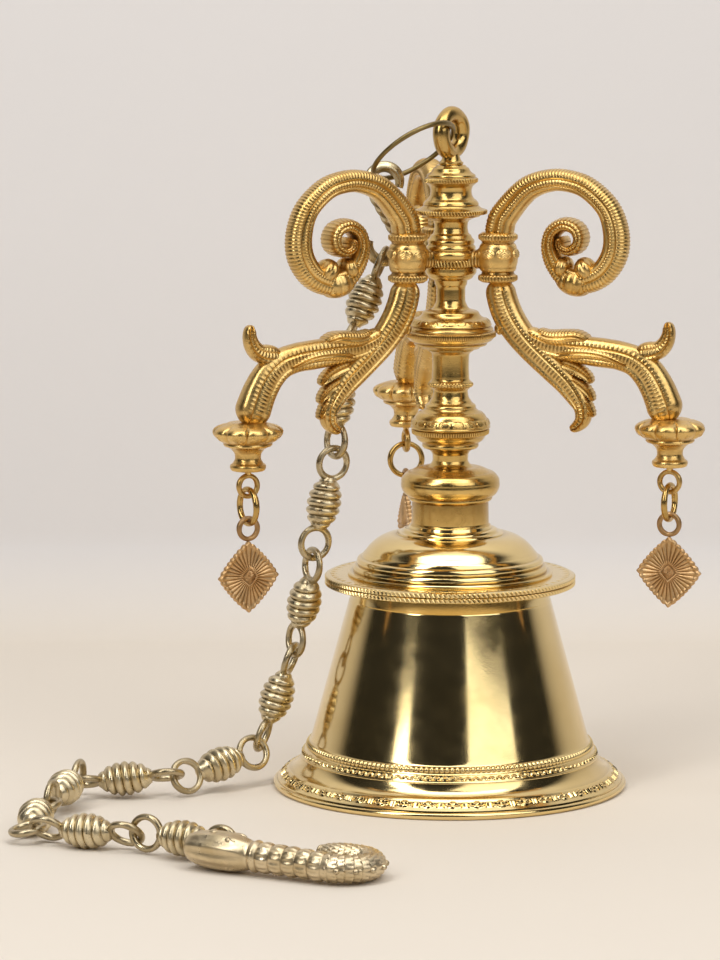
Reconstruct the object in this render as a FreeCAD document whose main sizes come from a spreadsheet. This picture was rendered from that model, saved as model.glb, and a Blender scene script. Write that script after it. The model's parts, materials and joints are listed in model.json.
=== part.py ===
import FreeCAD, Part
import math
import os

import Sketcher
from FreeCAD import Placement, Rotation, Vector

# A hanging temple bell of cast brass. A round stem of stacked castings stands on the bell, and three
# scroll arms leave the stem, each with a lotus socket, a ring and a diamond pendant. A wire ring, an
# S-hook, eleven rigid links and a ceiling hook hang from the eye at the top.
#
# Frame: millimetres, +Z up along the bell's axis, origin at the centre of the lip's lower edge.
# The arms' shared outline is drawn in the XZ plane and turned about Z to each arm's direction.

# ---------------------------------------------------------------------------------------------
# Driving dimensions
# ---------------------------------------------------------------------------------------------

SIZES = {
    # the bell and what is inside it
    "lip_radius": 91.0,
    "bell_height": 104.9,
    "bell_wall": 4.2,
    "flange_radius": 64.3,
    "flange_height": 5.6,
    "dome_radius": 52.3,
    "dome_height": 25.5,
    "washer_radius": 12.0,
    "washer_height": 1.6,
    "nut_radius": 7.5,
    "nut_height": 5.2,
    "hanger_radius": 6.0,
    "hanger_height": 6.4,
    "hanger_ring": 5.5,
    "hanger_wire": 1.6,
    "clapper_ring": 5.0,
    "clapper_wire": 1.5,
    "clapper_rod": 2.4,
    "clapper_length": 56.0,
    "clapper_ball": 12.0,
    # the stem, from the dome upwards
    "rod_radius": 3.5,
    "fit_gap": 0.1,
    "knob_radius": 25.3,
    "knob_height": 33.5,
    "bulb_radius": 20.3,
    "bulb_height": 35.5,
    "column_radius": 11.8,
    "column_height": 22.3,
    "disc_radius": 23.3,
    "disc_height": 20.0,
    "mid_spool_radius": 10.5,
    "mid_spool_height": 15.0,
    "hub_radius": 13.2,
    "hub_height": 25.7,
    "upper_spool_radius": 9.0,
    "upper_spool_height": 3.7,
    "finial_radius": 18.7,
    "finial_height": 29.3,
    "eye_ring": 9.6,
    "eye_bar": 4.1,
    "eye_centre_height": 337.2,
    "eye_turn": 57.0,
    # the arms and what hangs from them
    "arm_scale": 1.0,
    "arm_thickness": 12.0,
    "collar_reach": 25.6,
    "collar_radius": 10.2,
    "socket_reach": 118.3,
    "socket_radius": 17.8,
    "socket_bottom": 172.0,
    "socket_height": 24.3,
    "pendant_eye_ring": 5.2,
    "pendant_eye_wire": 1.35,
    "pendant_eye_drop": 7.7,
    "link_ring": 8.7,
    "link_wire": 1.5,
    "pendant_ring": 5.2,
    "pendant_wire": 1.2,
    "pendant_thickness": 3.0,
    "pendant_half_width": 17.0,
    "pendant_half_height": 18.4,
    "pendant_boss": 3.0,
    # the carrying ring, the S-hook, the links and the ceiling hook
    "carry_radius": 23.2,
    "carry_wire": 1.3,
    "s_hook_loop": 8.0,
    "s_hook_bar": 4.6,
    "s_hook_span": 32.2,
    "s_hook_gap": 2.4,
    "chain_ring": 7.9,
    "chain_wire": 1.7,
    "chain_pitch": 42.0,
    "chain_gap": 0.65,
    "bead_radius": 8.0,
    "bead_half_length": 12.0,
    "hook_bar": 6.6,
    "hook_bend": 14.5,
    "hook_shank": 58.0,
    "hook_head_half": 18.0,
    "hook_head_radius": 9.4,
    "hook_eye_ring": 5.6,
    "hook_eye_wire": 1.6,
    "hook_eye_offset": 13.2,
}

# The arms' directions about Z, in degrees from +X.
ARM_TURNS = {"right": -22.0, "left": 210.0, "back": 100.5}

# ---------------------------------------------------------------------------------------------
# Outlines. A turned piece lists (share of its radius, share of its height), from the bottom up.
# ---------------------------------------------------------------------------------------------

FLANGE_OUTLINE = [(0.985, 0.0), (1.0, 0.12), (1.0, 0.44), (0.985, 0.5), (1.0, 0.56), (1.0, 0.88), (0.985, 1.0)]

DOME_OUTLINE = [
    (1.0, 0.0), (1.0, 0.04), (0.95, 0.07), (0.94, 0.20), (0.91, 0.24), (0.90, 0.36), (0.87, 0.43),
    (0.82, 0.56), (0.73, 0.68), (0.60, 0.80), (0.49, 0.87), (0.48, 0.91), (0.42, 0.96), (0.39, 1.0),
]

DOME_HOLLOW = [(0.90, 0.0), (0.84, 0.30), (0.74, 0.50), (0.55, 0.68), (0.30, 0.76)]

KNOB_OUTLINE = [
    (0.80, 0.0), (0.78, 0.05), (0.78, 0.42), (0.85, 0.455), (0.88, 0.50), (0.95, 0.55), (1.0, 0.64),
    (0.975, 0.74), (0.91, 0.79), (0.82, 0.84), (0.68, 0.88), (0.54, 0.93), (0.40, 0.97), (0.36, 1.0),
]

BULB_OUTLINE = [
    (0.45, 0.0), (0.45, 0.10), (0.51, 0.145), (0.645, 0.23), (0.72, 0.28), (0.87, 0.37), (0.97, 0.45),
    (1.0, 0.50), (0.985, 0.54), (0.945, 0.61), (0.87, 0.67), (0.80, 0.715), (0.67, 0.76), (0.58, 0.85),
    (0.515, 0.89), (0.45, 0.94), (0.44, 1.0),
]

COLUMN_OUTLINE = [
    (0.76, 0.0), (0.87, 0.09), (0.96, 0.16), (1.0, 0.23), (0.93, 0.30), (0.82, 0.38), (0.82, 0.86),
    (0.95, 0.93), (1.0, 1.0),
]

DISC_OUTLINE = [
    (0.64, 0.0), (0.78, 0.075), (0.80, 0.13), (0.92, 0.30), (1.0, 0.38), (1.0, 0.50), (0.90, 0.64),
    (0.815, 0.77), (0.62, 0.92), (0.45, 1.0),
]

MID_SPOOL_OUTLINE = [(1.0, 0.0), (0.88, 0.10), (0.73, 0.22), (0.70, 0.32), (0.70, 0.62), (0.78, 0.74), (0.78, 1.0)]

HUB_OUTLINE = [
    (0.70, 0.0), (0.88, 0.07), (0.91, 0.19), (1.0, 0.27), (1.0, 0.46), (0.91, 0.50), (0.91, 0.83),
    (0.87, 0.88), (0.80, 0.94), (0.68, 1.0),
]

UPPER_SPOOL_OUTLINE = [(1.0, 0.0), (0.96, 0.25), (0.96, 1.0)]

FINIAL_OUTLINE = [
    (0.465, 0.0), (0.59, 0.05), (0.80, 0.105), (1.0, 0.157), (0.92, 0.21), (0.755, 0.265), (0.70, 0.32),
    (0.615, 0.43), (0.56, 0.505), (0.59, 0.58), (0.675, 0.645), (0.74, 0.71), (0.685, 0.77), (0.615, 0.82),
    (0.51, 0.87), (0.455, 0.925), (0.43, 1.0),
]

SOCKET_OUTLINE = [
    (0.44, 0.0), (0.50, 0.05), (0.50, 0.14), (0.36, 0.24), (0.40, 0.34), (0.66, 0.50), (0.97, 0.62),
    (1.0, 0.77), (0.95, 0.95), (0.88, 1.0),
]

BEAD_OUTLINE = [
    (0.40, -1.0), (0.62, -0.8), (0.84, -0.5), (0.97, -0.2), (1.0, 0.0), (0.97, 0.2), (0.84, 0.5),
    (0.62, 0.8), (0.40, 1.0),
]

HEAD_OUTLINE = [
    (0.30, -1.0), (0.60, -0.85), (0.85, -0.5), (0.97, -0.2), (1.0, 0.1), (0.95, 0.45), (0.85, 0.75),
    (0.75, 1.0),
]

# The bell's outside and inside, as (radius, height) shares of the lip radius and the bell height.
BELL_OUTSIDE = [
    (1.0, 0.0), (1.0, 0.024), (0.973, 0.051), (0.915, 0.092), (0.862, 0.135), (0.835, 0.167), (0.808, 0.195),
    (0.795, 0.214), (0.791, 0.229), (0.5715, 0.928), (0.549, 1.0),
]
BELL_INSIDE = [(0.525, 0.93), (0.7435, 0.229), (0.775, 0.19), (0.88, 0.07), (0.925, 0.0)]

# The arm's scroll, about the centre of its volute: (direction in degrees, reach in millimetres).
SCROLL_CENTRE = (63.0, 285.0)
SCROLL_OUTER = [
    (179, 44.6), (160, 42.8), (146, 41.0), (133, 39.5), (120, 38.0), (107, 36.7), (94, 35.6), (80, 34.6),
    (66, 33.7), (51, 33.0), (37, 32.7), (23, 32.6), (9, 32.6), (-5, 32.6), (-18, 32.0), (-32, 31.3),
    (-45, 30.2), (-60, 29.2), (-75, 28.5), (-94, 25.4),
]
VOLUTE_EDGE = [
    (-106, 20.4), (-126, 16.5), (-146, 14.8), (-169, 13.2), (-191, 12.0), (-220, 10.8), (-252, 10.2),
    (-285, 11.0), (-309, 12.4), (-333, 13.2), (-360, 13.4),
]
SCROLL_INNER = [
    (-14, 14.6), (-2, 16.8), (11, 18.5), (24, 20.0), (38, 21.1), (54, 22.0), (70, 22.9), (86, 24.2),
    (100, 25.3), (116, 26.3), (131, 27.1), (145, 27.8), (158, 28.8), (178, 29.7),
]

# The arm's S-curved limb with its curled leaf, raised tail and down-leg: (reach, height).
LIMB_OUTLINE = [
    (18.3, 262.0), (20.0, 253.0), (22.0, 246.0), (23.8, 241.0), (24.8, 237.0), (27.5, 234.5), (31.4, 232.0),
    (42.8, 222.0), (57.3, 211.0), (63.5, 205.3), (67.6, 199.7), (67.7, 193.8), (63.1, 190.2), (64.6, 187.3),
    (69.8, 187.1), (74.9, 189.8), (76.9, 194.3), (75.8, 201.0), (74.4, 207.0), (74.2, 214.0), (75.0, 220.3),
    (87.9, 220.0), (95.0, 217.5), (101.1, 212.9), (105.3, 206.3), (107.8, 196.8), (127.0, 196.8),
    (125.5, 200.0), (123.4, 205.2), (120.3, 211.8), (116.2, 218.4), (113.2, 225.0), (116.6, 232.9),
    (119.1, 236.8), (120.6, 240.8), (119.5, 244.1), (116.5, 245.6), (114.0, 244.3), (112.0, 238.0),
    (108.0, 234.9), (103.0, 233.8), (89.8, 234.7), (81.7, 235.8), (68.4, 237.4), (59.2, 236.1),
    (52.0, 237.5), (45.8, 241.6), (40.6, 247.2), (37.0, 253.9), (34.4, 262.0),
]

# The chain from the S-hook down to the table: each link's heading about Z and dip below level, and
# how far its rings are twisted from square with the link before it, all in degrees.
FIRST_RING_HEADING = -5.0
CHAIN_ROUTE = [
    (206, 64, 0), (234, 84, 46), (190, 77, 7), (135, 73, 0), (185, 70, -45), (216, 10, -40),
    (179, 5, 2), (255, 3, -15), (263, 4, 13), (-22, -1, 38), (-29, 1, 44),
]
HOOK_HEADING = -28.0
HOOK_DIP = 2.0

doc = FreeCAD.newDocument("temple_bell")


# ---------------------------------------------------------------------------------------------
# The sheet and the small helpers
# ---------------------------------------------------------------------------------------------

def make_sheet():
    sheet = doc.addObject("Spreadsheet::Sheet", "Sizes")
    for row, (alias, value) in enumerate(SIZES.items(), start=1):
        sheet.set("A%d" % row, alias)
        sheet.set("B%d" % row, str(value))
        sheet.setAlias("B%d" % row, alias)
    doc.recompute()
    return sheet


def size(alias):
    return float(sheet.get(alias))


def cell(alias):
    return "Sizes." + alias


def origin_plane(body, role):
    for feature in body.Origin.OriginFeatures:
        if feature.Role == role:
            return feature
    raise ValueError("no origin plane " + role)


def bind(item, bindings):
    """Bind each named property of an object to an expression over the sheet."""
    for name, expression in bindings.items():
        item.setExpression(name, expression)


def closed_sketch(body, name, corners):
    """A closed outline in the body's XZ plane. A corner is (x, z, x expression, z expression)."""
    sketch = body.newObject("Sketcher::SketchObject", name)
    sketch.AttachmentSupport = [(origin_plane(body, "XZ_Plane"), "")]
    sketch.MapMode = "FlatFace"
    count = len(corners)
    for index in range(count):
        start = corners[index]
        end = corners[(index + 1) % count]
        sketch.addGeometry(Part.LineSegment(Vector(start[0], start[1], 0), Vector(end[0], end[1], 0)), False)
    for index in range(count):
        sketch.addConstraint(Sketcher.Constraint("Coincident", index, 2, (index + 1) % count, 1))
    for index, (x, z, x_expression, z_expression) in enumerate(corners):
        if x == 0.0:
            sketch.addConstraint(Sketcher.Constraint("PointOnObject", index, 1, -2))
        else:
            place = sketch.addConstraint(Sketcher.Constraint("DistanceX", -1, 1, index, 1, x))
            sketch.setExpression("Constraints[%d]" % place, x_expression)
        if z == 0.0:
            sketch.addConstraint(Sketcher.Constraint("PointOnObject", index, 1, -1))
        else:
            place = sketch.addConstraint(Sketcher.Constraint("DistanceY", -1, 1, index, 1, z))
            sketch.setExpression("Constraints[%d]" % place, z_expression)
    return sketch


def share_corner(radius_share, height_share, radius, bottom, height):
    """A corner given as shares of a piece's radius and height, above its bottom."""
    return (
        radius_share * size(radius),
        bottom + height_share * size(height),
        "%g * %s" % (radius_share, cell(radius)),
        "%g + %g * %s" % (bottom, height_share, cell(height)),
    )


def spin(body, name, sketch, feature="PartDesign::Revolution"):
    turned = body.newObject(feature, name)
    turned.Profile = sketch
    turned.ReferenceAxis = (sketch, ["V_Axis"])
    turned.Angle = 360.0
    return turned


def turned_body(label, radius, height, bottom, outline, hollow=None):
    """A piece turned about the stem, bored for the tie rod, with an optional hollow underneath."""
    body = doc.addObject("PartDesign::Body", label)
    bore = size("rod_radius") + size("fit_gap")
    bore_expression = "%s + %s" % (cell("rod_radius"), cell("fit_gap"))
    corners = [share_corner(u, v, radius, bottom, height) for u, v in outline]
    top = bottom + size(height)
    corners.append((bore, top, bore_expression, "%g + %s" % (bottom, cell(height))))
    if hollow:
        roof = share_corner(hollow[-1][0], hollow[-1][1], radius, bottom, height)
        corners.append((bore, roof[1], bore_expression, roof[3]))
        corners += [share_corner(u, v, radius, bottom, height) for u, v in reversed(hollow)]
    else:
        corners.append((bore, bottom, bore_expression, "%g" % bottom))
    sketch = closed_sketch(body, label + "_outline", corners)
    spin(body, label + "_turn", sketch)
    return body


def torus(name, ring, wire, placement):
    item = doc.addObject("Part::Torus", name)
    bind(item, {"Radius1": cell(ring), "Radius2": cell(wire)})
    item.Placement = placement
    return item


def cylinder(name, radius, height, placement):
    item = doc.addObject("Part::Cylinder", name)
    bind(item, {"Radius": radius, "Height": height})
    item.Placement = placement
    return item


def sphere(name, radius, placement):
    item = doc.addObject("Part::Sphere", name)
    bind(item, {"Radius": radius})
    item.Placement = placement
    return item


def cone(name, radius_start, radius_end, height, placement):
    item = doc.addObject("Part::Cone", name)
    bind(item, {"Radius1": radius_start, "Radius2": radius_end, "Height": height})
    item.Placement = placement
    return item


def fuse(label, shapes):
    joined = doc.addObject("Part::MultiFuse", label)
    joined.Shapes = shapes
    joined.Refine = True
    return joined


def cut(label, base, tool):
    result = doc.addObject("Part::Cut", label)
    result.Base = base
    result.Tool = tool
    return result


def padded_body(name, corners, thickness):
    """A plate of the given thickness, centred on the XZ plane."""
    body = doc.addObject("PartDesign::Body", name)
    sketch = closed_sketch(body, name + "_outline", corners)
    pad = body.newObject("PartDesign::Pad", name + "_pad")
    pad.Profile = sketch
    pad.SideType = "Symmetric"
    pad.setExpression("Length", thickness)
    return body


def lifted(x, y, z, rotation=Rotation()):
    return Placement(Vector(x, y, z), rotation)


# A torus lies level. These stand it in the XZ plane or in the YZ plane.
STAND_XZ = Rotation(Vector(1, 0, 0), 90)
STAND_YZ = Rotation(Vector(0, 1, 0), 90)


# ---------------------------------------------------------------------------------------------
# The bell and its inside
# ---------------------------------------------------------------------------------------------

def make_bell_body():
    body = doc.addObject("PartDesign::Body", "bell_body")
    radius, height = "lip_radius", "bell_height"
    bore = size("rod_radius") + size("fit_gap")
    bore_expression = "%s + %s" % (cell("rod_radius"), cell("fit_gap"))
    corners = [share_corner(u, v, radius, 0.0, height) for u, v in BELL_OUTSIDE]
    corners.append((bore, size(height), bore_expression, cell(height)))
    under_roof = size(height) - size("bell_wall")
    under_roof_expression = "%s - %s" % (cell(height), cell("bell_wall"))
    shoulder = 0.513
    corners.append((bore, under_roof, bore_expression, under_roof_expression))
    corners.append((shoulder * size(radius), under_roof, "%g * %s" % (shoulder, cell(radius)), under_roof_expression))
    corners += [share_corner(u, v, radius, 0.0, height) for u, v in BELL_INSIDE]
    sketch = closed_sketch(body, "bell_body_outline", corners)
    spin(body, "bell_body_turn", sketch)
    return body


def make_washer(top):
    washer = cylinder("washer_disc", cell("washer_radius"), cell("washer_height"),
                      lifted(0, 0, top - size("washer_height")))
    hole = cylinder("washer_hole", "%s + %s" % (cell("rod_radius"), cell("fit_gap")), cell("washer_height"),
                    washer.Placement)
    return cut("washer", washer, hole)


def make_lock_nut(top):
    nut = doc.addObject("Part::Prism", "lock_nut_hexagon")
    nut.Polygon = 6
    bind(nut, {"Circumradius": cell("nut_radius"), "Height": cell("nut_height")})
    nut.Placement = lifted(0, 0, top - size("nut_height"))
    hole = cylinder("lock_nut_hole", "%s + %s" % (cell("rod_radius"), cell("fit_gap")), cell("nut_height"),
                    nut.Placement)
    return cut("lock_nut", nut, hole)


def make_clapper_hanger(top):
    """A boss screwed on the end of the tie rod, with an eye that the clapper hangs in."""
    bottom = top - size("hanger_height")
    boss = cylinder("hanger_boss", cell("hanger_radius"), cell("hanger_height"), lifted(0, 0, bottom))
    thread = cylinder("hanger_thread", "%s + %s" % (cell("rod_radius"), cell("fit_gap")),
                      "0.6 * %s" % cell("hanger_height"), lifted(0, 0, top - 0.6 * size("hanger_height")))
    bored = cut("hanger_bored", boss, thread)
    eye = torus("hanger_eye", "hanger_ring", "hanger_wire", lifted(0, 0, hanger_eye_height(top), STAND_YZ))
    return fuse("clapper_hanger", [bored, eye])


def hanger_eye_height(top):
    overlap = 0.8
    return top - size("hanger_height") - size("hanger_ring") - size("hanger_wire") + overlap


def clapper_pivot_height(top):
    return hanger_eye_height(top) - size("hanger_ring")


def make_clapper(top):
    pivot = clapper_pivot_height(top)
    ring_top = pivot + size("hanger_wire") + size("clapper_wire") + size("chain_gap")
    ring_centre = ring_top - size("clapper_ring")
    ball_height = pivot - size("clapper_length")
    ring = torus("clapper_eye", "clapper_ring", "clapper_wire", lifted(0, 0, ring_centre, STAND_XZ))
    rod_length = ring_centre - size("clapper_ring") - ball_height
    rod = cylinder("clapper_shaft", cell("clapper_rod"), "%g" % rod_length, lifted(0, 0, ball_height))
    ball = sphere("clapper_knocker", cell("clapper_ball"), lifted(0, 0, ball_height))
    return fuse("clapper", [ring, rod, ball])


# ---------------------------------------------------------------------------------------------
# The stem
# ---------------------------------------------------------------------------------------------

STEM_PIECES = [
    ("crown_flange", "flange_radius", "flange_height", FLANGE_OUTLINE, None),
    ("crown_dome", "dome_radius", "dome_height", DOME_OUTLINE, DOME_HOLLOW),
    ("neck_knob", "knob_radius", "knob_height", KNOB_OUTLINE, None),
    ("lotus_bulb", "bulb_radius", "bulb_height", BULB_OUTLINE, None),
    ("column", "column_radius", "column_height", COLUMN_OUTLINE, None),
    ("support_disc", "disc_radius", "disc_height", DISC_OUTLINE, None),
    ("mid_spool", "mid_spool_radius", "mid_spool_height", MID_SPOOL_OUTLINE, None),
    ("arm_hub", "hub_radius", "hub_height", HUB_OUTLINE, None),
    ("upper_spool", "upper_spool_radius", "upper_spool_height", UPPER_SPOOL_OUTLINE, None),
    ("finial", "finial_radius", "finial_height", FINIAL_OUTLINE, None),
]


def make_stem():
    """The turned pieces, stacked from the bell upwards. Returns them and the height of the top."""
    pieces = []
    bottom = size("bell_height")
    for label, radius, height, outline, hollow in STEM_PIECES:
        pieces.append(turned_body(label, radius, height, bottom, outline, hollow))
        bottom += size(height)
    return pieces, bottom


def make_suspension_eye(stem_top, rod_bottom):
    """The eye at the top and the long rod that ties the stem to the bell."""
    turn = Rotation(Vector(0, 0, 1), size("eye_turn"))
    ring = torus("eye_loop", "eye_ring", "eye_bar", lifted(0, 0, size("eye_centre_height"), turn * STAND_XZ))
    foot_height = size("eye_centre_height") - size("eye_ring") - stem_top
    foot = cone("eye_foot", "1.7 * %s" % cell("eye_bar"), cell("eye_bar"), "%g" % foot_height,
                lifted(0, 0, stem_top))
    rod = cylinder("eye_rod", cell("rod_radius"), "%g" % (stem_top - rod_bottom), lifted(0, 0, rod_bottom))
    return fuse("suspension_eye", [ring, foot, rod])


# ---------------------------------------------------------------------------------------------
# The arms, sockets and pendants
# ---------------------------------------------------------------------------------------------

def arm_corner(reach, height):
    scale = size("arm_scale")
    return (reach * scale, height * scale,
            "%g * %s" % (reach, cell("arm_scale")), "%g * %s" % (height, cell("arm_scale")))


def scroll_corner(direction, reach):
    angle = math.radians(direction)
    return arm_corner(round(SCROLL_CENTRE[0] + reach * math.cos(angle), 3),
                      round(SCROLL_CENTRE[1] + reach * math.sin(angle), 3))


def turn_about_stem(degrees):
    return Placement(Vector(0, 0, 0), Rotation(Vector(0, 0, 1), degrees))


def make_arm(side):
    """One cast arm: the big scroll above, the collar beside the hub and the S-curved limb below."""
    scroll_corners = [scroll_corner(*station) for station in SCROLL_OUTER + VOLUTE_EDGE + SCROLL_INNER]
    scroll = padded_body("scroll_" + side, scroll_corners, cell("arm_thickness"))
    limb = padded_body("limb_" + side, [arm_corner(*point) for point in LIMB_OUTLINE],
                       "%s - 1" % cell("arm_thickness"))
    reach = size("collar_reach")
    bulb_bottom, bulb_height, ring_height = 267.5, 14.5, 5.5
    ring_bottoms = (bulb_bottom - ring_height, bulb_bottom + bulb_height)
    parts = [scroll, limb]
    parts.append(cylinder("collar_bulb_" + side, cell("collar_radius"), "%g" % bulb_height,
                          lifted(reach, 0, bulb_bottom)))
    for index, bottom in enumerate(ring_bottoms):
        parts.append(cylinder("collar_ring_%d_%s" % (index, side), "0.92 * %s" % cell("collar_radius"),
                              "%g" % ring_height, lifted(reach, 0, bottom)))
    stub_height, stub_radius = 275.0, 4.0
    stub_start = size("hub_radius") + 0.2
    parts.append(cylinder("hub_stub_" + side, "%g" % stub_radius, "%g" % (reach - stub_start),
                          lifted(stub_start, 0, stub_height, Rotation(Vector(0, 1, 0), 90))))
    arm = fuse("arm_" + side, parts)
    arm.Placement = turn_about_stem(ARM_TURNS[side])
    return arm


def make_socket(side):
    """The lotus cup under the end of an arm, turned about its own upright axis."""
    label = "lotus_socket_" + side
    body = doc.addObject("PartDesign::Body", label)
    bottom = size("socket_bottom")
    corners = [share_corner(u, v, "socket_radius", bottom, "socket_height") for u, v in SOCKET_OUTLINE]
    for corner in (corners[-1], corners[0]):
        corners.append((0.0, corner[1], "0", corner[3]))
    sketch = closed_sketch(body, label + "_outline", corners)
    spin(body, label + "_turn", sketch)
    turn = turn_about_stem(ARM_TURNS[side])
    body.Placement = turn * lifted(size("socket_reach"), 0, 0)
    return body


def pendant_heights():
    """The heights of the small eye, the ring in it and the pendant's own eye, from the top down."""
    eye = size("socket_bottom") - size("pendant_eye_drop")
    link_pivot = eye - size("pendant_eye_ring")
    link_top = link_pivot + size("pendant_eye_wire") + size("link_wire") + size("chain_gap")
    link = link_top - size("link_ring")
    pendant_pivot = link - size("link_ring")
    pendant_top = pendant_pivot + size("link_wire") + size("pendant_wire") + size("chain_gap")
    pendant = pendant_top - size("pendant_ring")
    return {"eye": eye, "link_pivot": link_pivot, "link": link, "pendant_pivot": pendant_pivot, "pendant": pendant}


def make_pendant_eye(side):
    heights = pendant_heights()
    reach = size("socket_reach")
    ring = torus("pendant_eye_ring_" + side, "pendant_eye_ring", "pendant_eye_wire",
                 lifted(reach, 0, heights["eye"], STAND_XZ))
    peg_bottom = heights["eye"] + size("pendant_eye_ring")
    peg = cylinder("pendant_eye_peg_" + side, cell("pendant_eye_wire"),
                   "%g" % (size("socket_bottom") - peg_bottom), lifted(reach, 0, peg_bottom))
    eye = fuse("pendant_eye_" + side, [ring, peg])
    eye.Placement = turn_about_stem(ARM_TURNS[side])
    return eye


def make_pendant_link(side):
    turn = turn_about_stem(ARM_TURNS[side])
    place = lifted(size("socket_reach"), 0, pendant_heights()["link"], STAND_YZ)
    return torus("pendant_link_" + side, "link_ring", "link_wire", turn * place)


def make_pendant(side):
    """A flat diamond with hollowed sides, a boss in the middle and an eye on top."""
    reach = size("socket_reach")
    eye_height = pendant_heights()["pendant"]
    half_width, half_height = "pendant_half_width", "pendant_half_height"
    middle = eye_height - size("pendant_ring") - 0.9 - size(half_height)
    side_shares = [(1.0, 0.0), (0.62, 0.30), (0.30, 0.62), (0.0, 1.0), (-0.30, 0.62), (-0.62, 0.30),
                   (-1.0, 0.0), (-0.62, -0.30), (-0.30, -0.62), (0.0, -1.0), (0.30, -0.62), (0.62, -0.30)]
    corners = []
    for across, up in side_shares:
        corners.append((reach + across * size(half_width), middle + up * size(half_height),
                        "%s + %g * %s" % (cell("socket_reach"), across, cell(half_width)),
                        "%g + %g * %s" % (middle, up, cell(half_height))))
    plate = padded_body("pendant_plate_" + side, corners, cell("pendant_thickness"))
    ring = torus("pendant_ring_" + side, "pendant_ring", "pendant_wire", lifted(reach, 0, eye_height, STAND_XZ))
    boss_height = size("pendant_thickness") + 1.6
    boss = cylinder("pendant_boss_" + side, cell("pendant_boss"), "%g" % boss_height,
                    lifted(reach, boss_height / 2, middle, STAND_XZ))
    pendant = fuse("pendant_" + side, [plate, ring, boss])
    pendant.Placement = turn_about_stem(ARM_TURNS[side])
    return pendant


# ---------------------------------------------------------------------------------------------
# The carrying ring, the S-hook, the links and the ceiling hook
# ---------------------------------------------------------------------------------------------

CARRY_RISE = 27.5
CARRY_LEAN = 29.5
CARRY_YAW = 11.0
CARRY_ANGLE_IN_EYE = -20.0
CARRY_DROP_IN_EYE = 1.7
S_HOOK_TURN = 10.0
S_HOOK_ANGLE_ON_RING = 220.0
S_HOOK_TIP_ANGLE = -20.0
FIRST_LINK_ANGLE = 10.0


def carry_axes():
    """The ring's long direction, which rises to the right, its short direction and its normal."""
    rise, lean, yaw = math.radians(CARRY_RISE), math.radians(CARRY_LEAN), math.radians(CARRY_YAW)
    level = Vector(math.cos(yaw), math.sin(yaw), 0)
    forward = Vector(math.sin(yaw), -math.cos(yaw), 0)
    up = Vector(0, 0, 1)
    along = level * math.cos(rise) + up * math.sin(rise)
    upright = up * math.cos(rise) - level * math.sin(rise)
    across = upright * math.sin(lean) + forward * math.cos(lean)
    return along, across, along.cross(across)


def around_carry_ring(degrees):
    """From the ring's centre to its wire's centre at an angle from the long direction."""
    along, across, _ = carry_axes()
    angle = math.radians(degrees)
    return (along * math.cos(angle) + across * math.sin(angle)) * size("carry_radius")


def carry_centre():
    """The ring's centre, placed so that its wire passes through the eye's hole."""
    in_eye = Vector(0, 0, size("eye_centre_height") - CARRY_DROP_IN_EYE)
    return in_eye - around_carry_ring(CARRY_ANGLE_IN_EYE)


def make_carry_ring():
    along, across, normal = carry_axes()
    place = Placement(carry_centre(), Rotation(along, across, normal, "ZXY"))
    return torus("carry_ring", "carry_radius", "carry_wire", place)


def carry_pivot():
    """The point inside the eye's bar that the ring turns about: where the bar crosses its plane."""
    _, _, normal = carry_axes()
    turn = math.radians(size("eye_turn"))
    near = Vector(-math.cos(turn), -math.sin(turn), 0)
    eye = Vector(0, 0, size("eye_centre_height"))
    best = None
    for step in range(-90, 91):
        angle = math.radians(step)
        point = eye + (near * math.cos(angle) + Vector(0, 0, math.sin(angle))) * size("eye_ring")
        off_plane = abs((point - carry_centre()).dot(normal))
        if best is None or off_plane < best[0]:
            best = (off_plane, point)
    return best[1]


def s_hook_pivot():
    """Where the S-hook's upper loop rests: the centre of the carrying ring's wire."""
    return carry_centre() + around_carry_ring(S_HOOK_ANGLE_ON_RING)


def s_hook_centres():
    """The centres of the upper and lower loops, right below the pivot."""
    top_bar = size("carry_wire") + size("s_hook_bar") / 2 + size("s_hook_gap")
    upper = s_hook_pivot() + Vector(0, 0, top_bar - size("s_hook_loop"))
    return upper, upper - Vector(0, 0, size("s_hook_span"))


def first_link_pivot():
    """The point in the lower loop's bar that the chain hangs from, a little left of its bottom."""
    angle, turn = math.radians(FIRST_LINK_ANGLE), Rotation(Vector(0, 0, 1), S_HOOK_TURN)
    towards = turn.multVec(Vector(-math.sin(angle), 0, -math.cos(angle)))
    return s_hook_centres()[1] + towards * size("s_hook_loop")


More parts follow.
